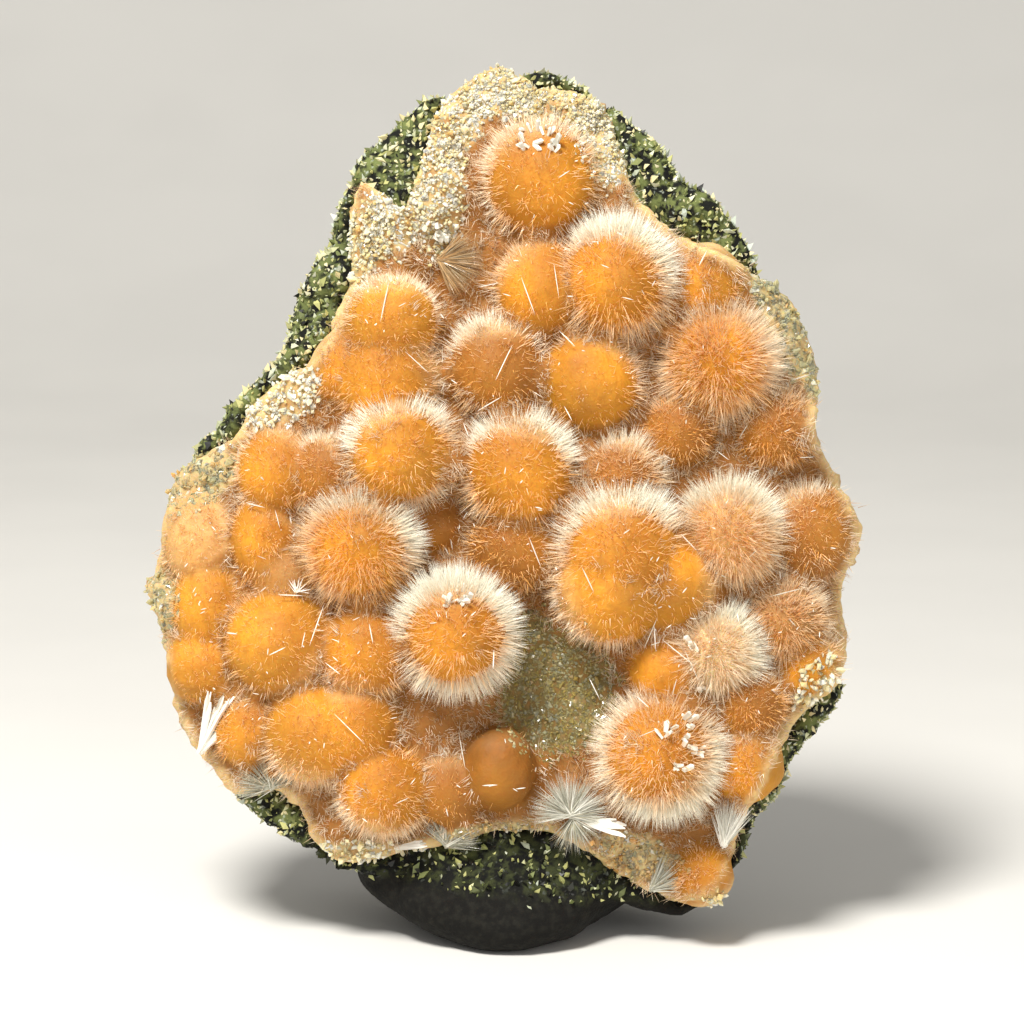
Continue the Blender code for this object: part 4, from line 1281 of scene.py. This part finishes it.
class THOMSONITE_OT_stage(Operator):
    """Makes the floor, the lights and the camera"""

    bl_idname = "thomsonite.stage"
    bl_label = "Stage"

    def execute(self, context):
        looks = context.scene.thomsonite_stage
        self.add_floor(looks)
        add_light("key", looks.key, *KEY_LIGHT)
        add_light("fill", looks.fill, *FILL_LIGHT)
        self.add_world(context)
        self.add_camera(context, looks)
        return {"FINISHED"}

    def add_floor(self, looks):
        """A floor that curves up into a backdrop, open to the front."""
        depth, height, bend = 0.62, 1.2, 0.3
        profile = [(FLOOR_FRONT, 0.0), (depth - bend, 0.0)]
        for i in range(1, 13):
            turn = math.radians(90.0 * i / 12)
            profile.append((depth - bend + bend * math.sin(turn), bend - bend * math.cos(turn)))
        profile.append((depth, height))
        bm = bmesh.new()
        loops = [[bm.verts.new((side, y, z)) for y, z in profile] for side in (-FLOOR_SIDE, FLOOR_SIDE)]
        for i in range(len(profile) - 1):
            bm.faces.new((loops[0][i], loops[1][i], loops[1][i + 1], loops[0][i + 1]))
        mesh = bpy.data.meshes.new("floor")
        bm.to_mesh(mesh)
        bm.free()
        mesh.shade_smooth()
        mesh.materials.append(stage_material(looks))
        floor = bpy.data.objects.new("floor", mesh)
        bpy.context.scene.collection.objects.link(floor)

    def add_world(self, context):
        """Even soft light from all sides."""
        world = bpy.data.worlds.new("studio")
        world.use_nodes = True
        backdrop = world.node_tree.nodes["Background"]
        backdrop.inputs["Color"].default_value = rgba(SKY_TINT)
        backdrop.inputs["Strength"].default_value = SKY_STRENGTH
        context.scene.world = world
        context.scene.view_settings.view_transform = "Standard"

    def add_camera(self, context, looks):
        """A camera that looks straight at the face, as the photo's does."""
        data = bpy.data.cameras.new("camera")
        data.lens = looks.lens
        data.sensor_width = SENSOR_WIDTH
        distance = PICTURE_WIDTH * looks.lens / SENSOR_WIDTH
        x, v = PICTURE_MIDDLE
        place, aim = to_world(np.array([(x, v, distance), (x, v, 0.0)]))
        camera = bpy.data.objects.new("camera", data)
        camera.location = place
        camera.rotation_euler = (Vector(aim) - Vector(place)).to_track_quat("-Z", "Y").to_euler()
        context.scene.collection.objects.link(camera)
        context.scene.camera = camera


LOOKS = {
    "thomsonite_rock": RockLooks,
    "thomsonite_crust": CrustLooks,
    "thomsonite_needles": NeedleLooks,
    "thomsonite_druse": DruseLooks,
    "thomsonite_stage": StageLooks,
}
OPERATORS = (
    THOMSONITE_OT_rock,
    THOMSONITE_OT_crust,
    THOMSONITE_OT_needles,
    THOMSONITE_OT_undergrowth,
    THOMSONITE_OT_druse,
    THOMSONITE_OT_blades,
    THOMSONITE_OT_stage,
)


class THOMSONITE_PT_panel(bpy.types.Panel):
    """Lists the specimen's pieces and their looks"""

    bl_idname = "THOMSONITE_PT_panel"
    bl_label = "Thomsonite specimen"
    bl_space_type = "VIEW_3D"
    bl_region_type = "UI"
    bl_category = "Thomsonite"

    def draw(self, context):
        for operator in OPERATORS:
            self.layout.operator(operator.bl_idname)
        for name, group in LOOKS.items():
            box = self.layout.box()
            box.label(text=group.__doc__)
            for setting in group.__annotations__:
                box.prop(getattr(context.scene, name), setting)


def register():
    for group in LOOKS.values():
        bpy.utils.register_class(group)
    for operator in OPERATORS:
        bpy.utils.register_class(operator)
    bpy.utils.register_class(THOMSONITE_PT_panel)
    for name, group in LOOKS.items():
        setattr(bpy.types.Scene, name, PointerProperty(type=group))


def unregister():
    for name in LOOKS:
        delattr(bpy.types.Scene, name)
    bpy.utils.unregister_class(THOMSONITE_PT_panel)
    for operator in reversed(OPERATORS):
        bpy.utils.unregister_class(operator)
    for group in reversed(LOOKS.values()):
        bpy.utils.unregister_class(group)


def main():
    """Makes the whole specimen and its stage."""
    register()
    bpy.ops.thomsonite.rock()
    bpy.ops.thomsonite.crust()
    bpy.ops.thomsonite.needles()
    bpy.ops.thomsonite.undergrowth()
    bpy.ops.thomsonite.druse()
    bpy.ops.thomsonite.blades()
    bpy.ops.thomsonite.stage()


if __name__ == "__main__":
    main()
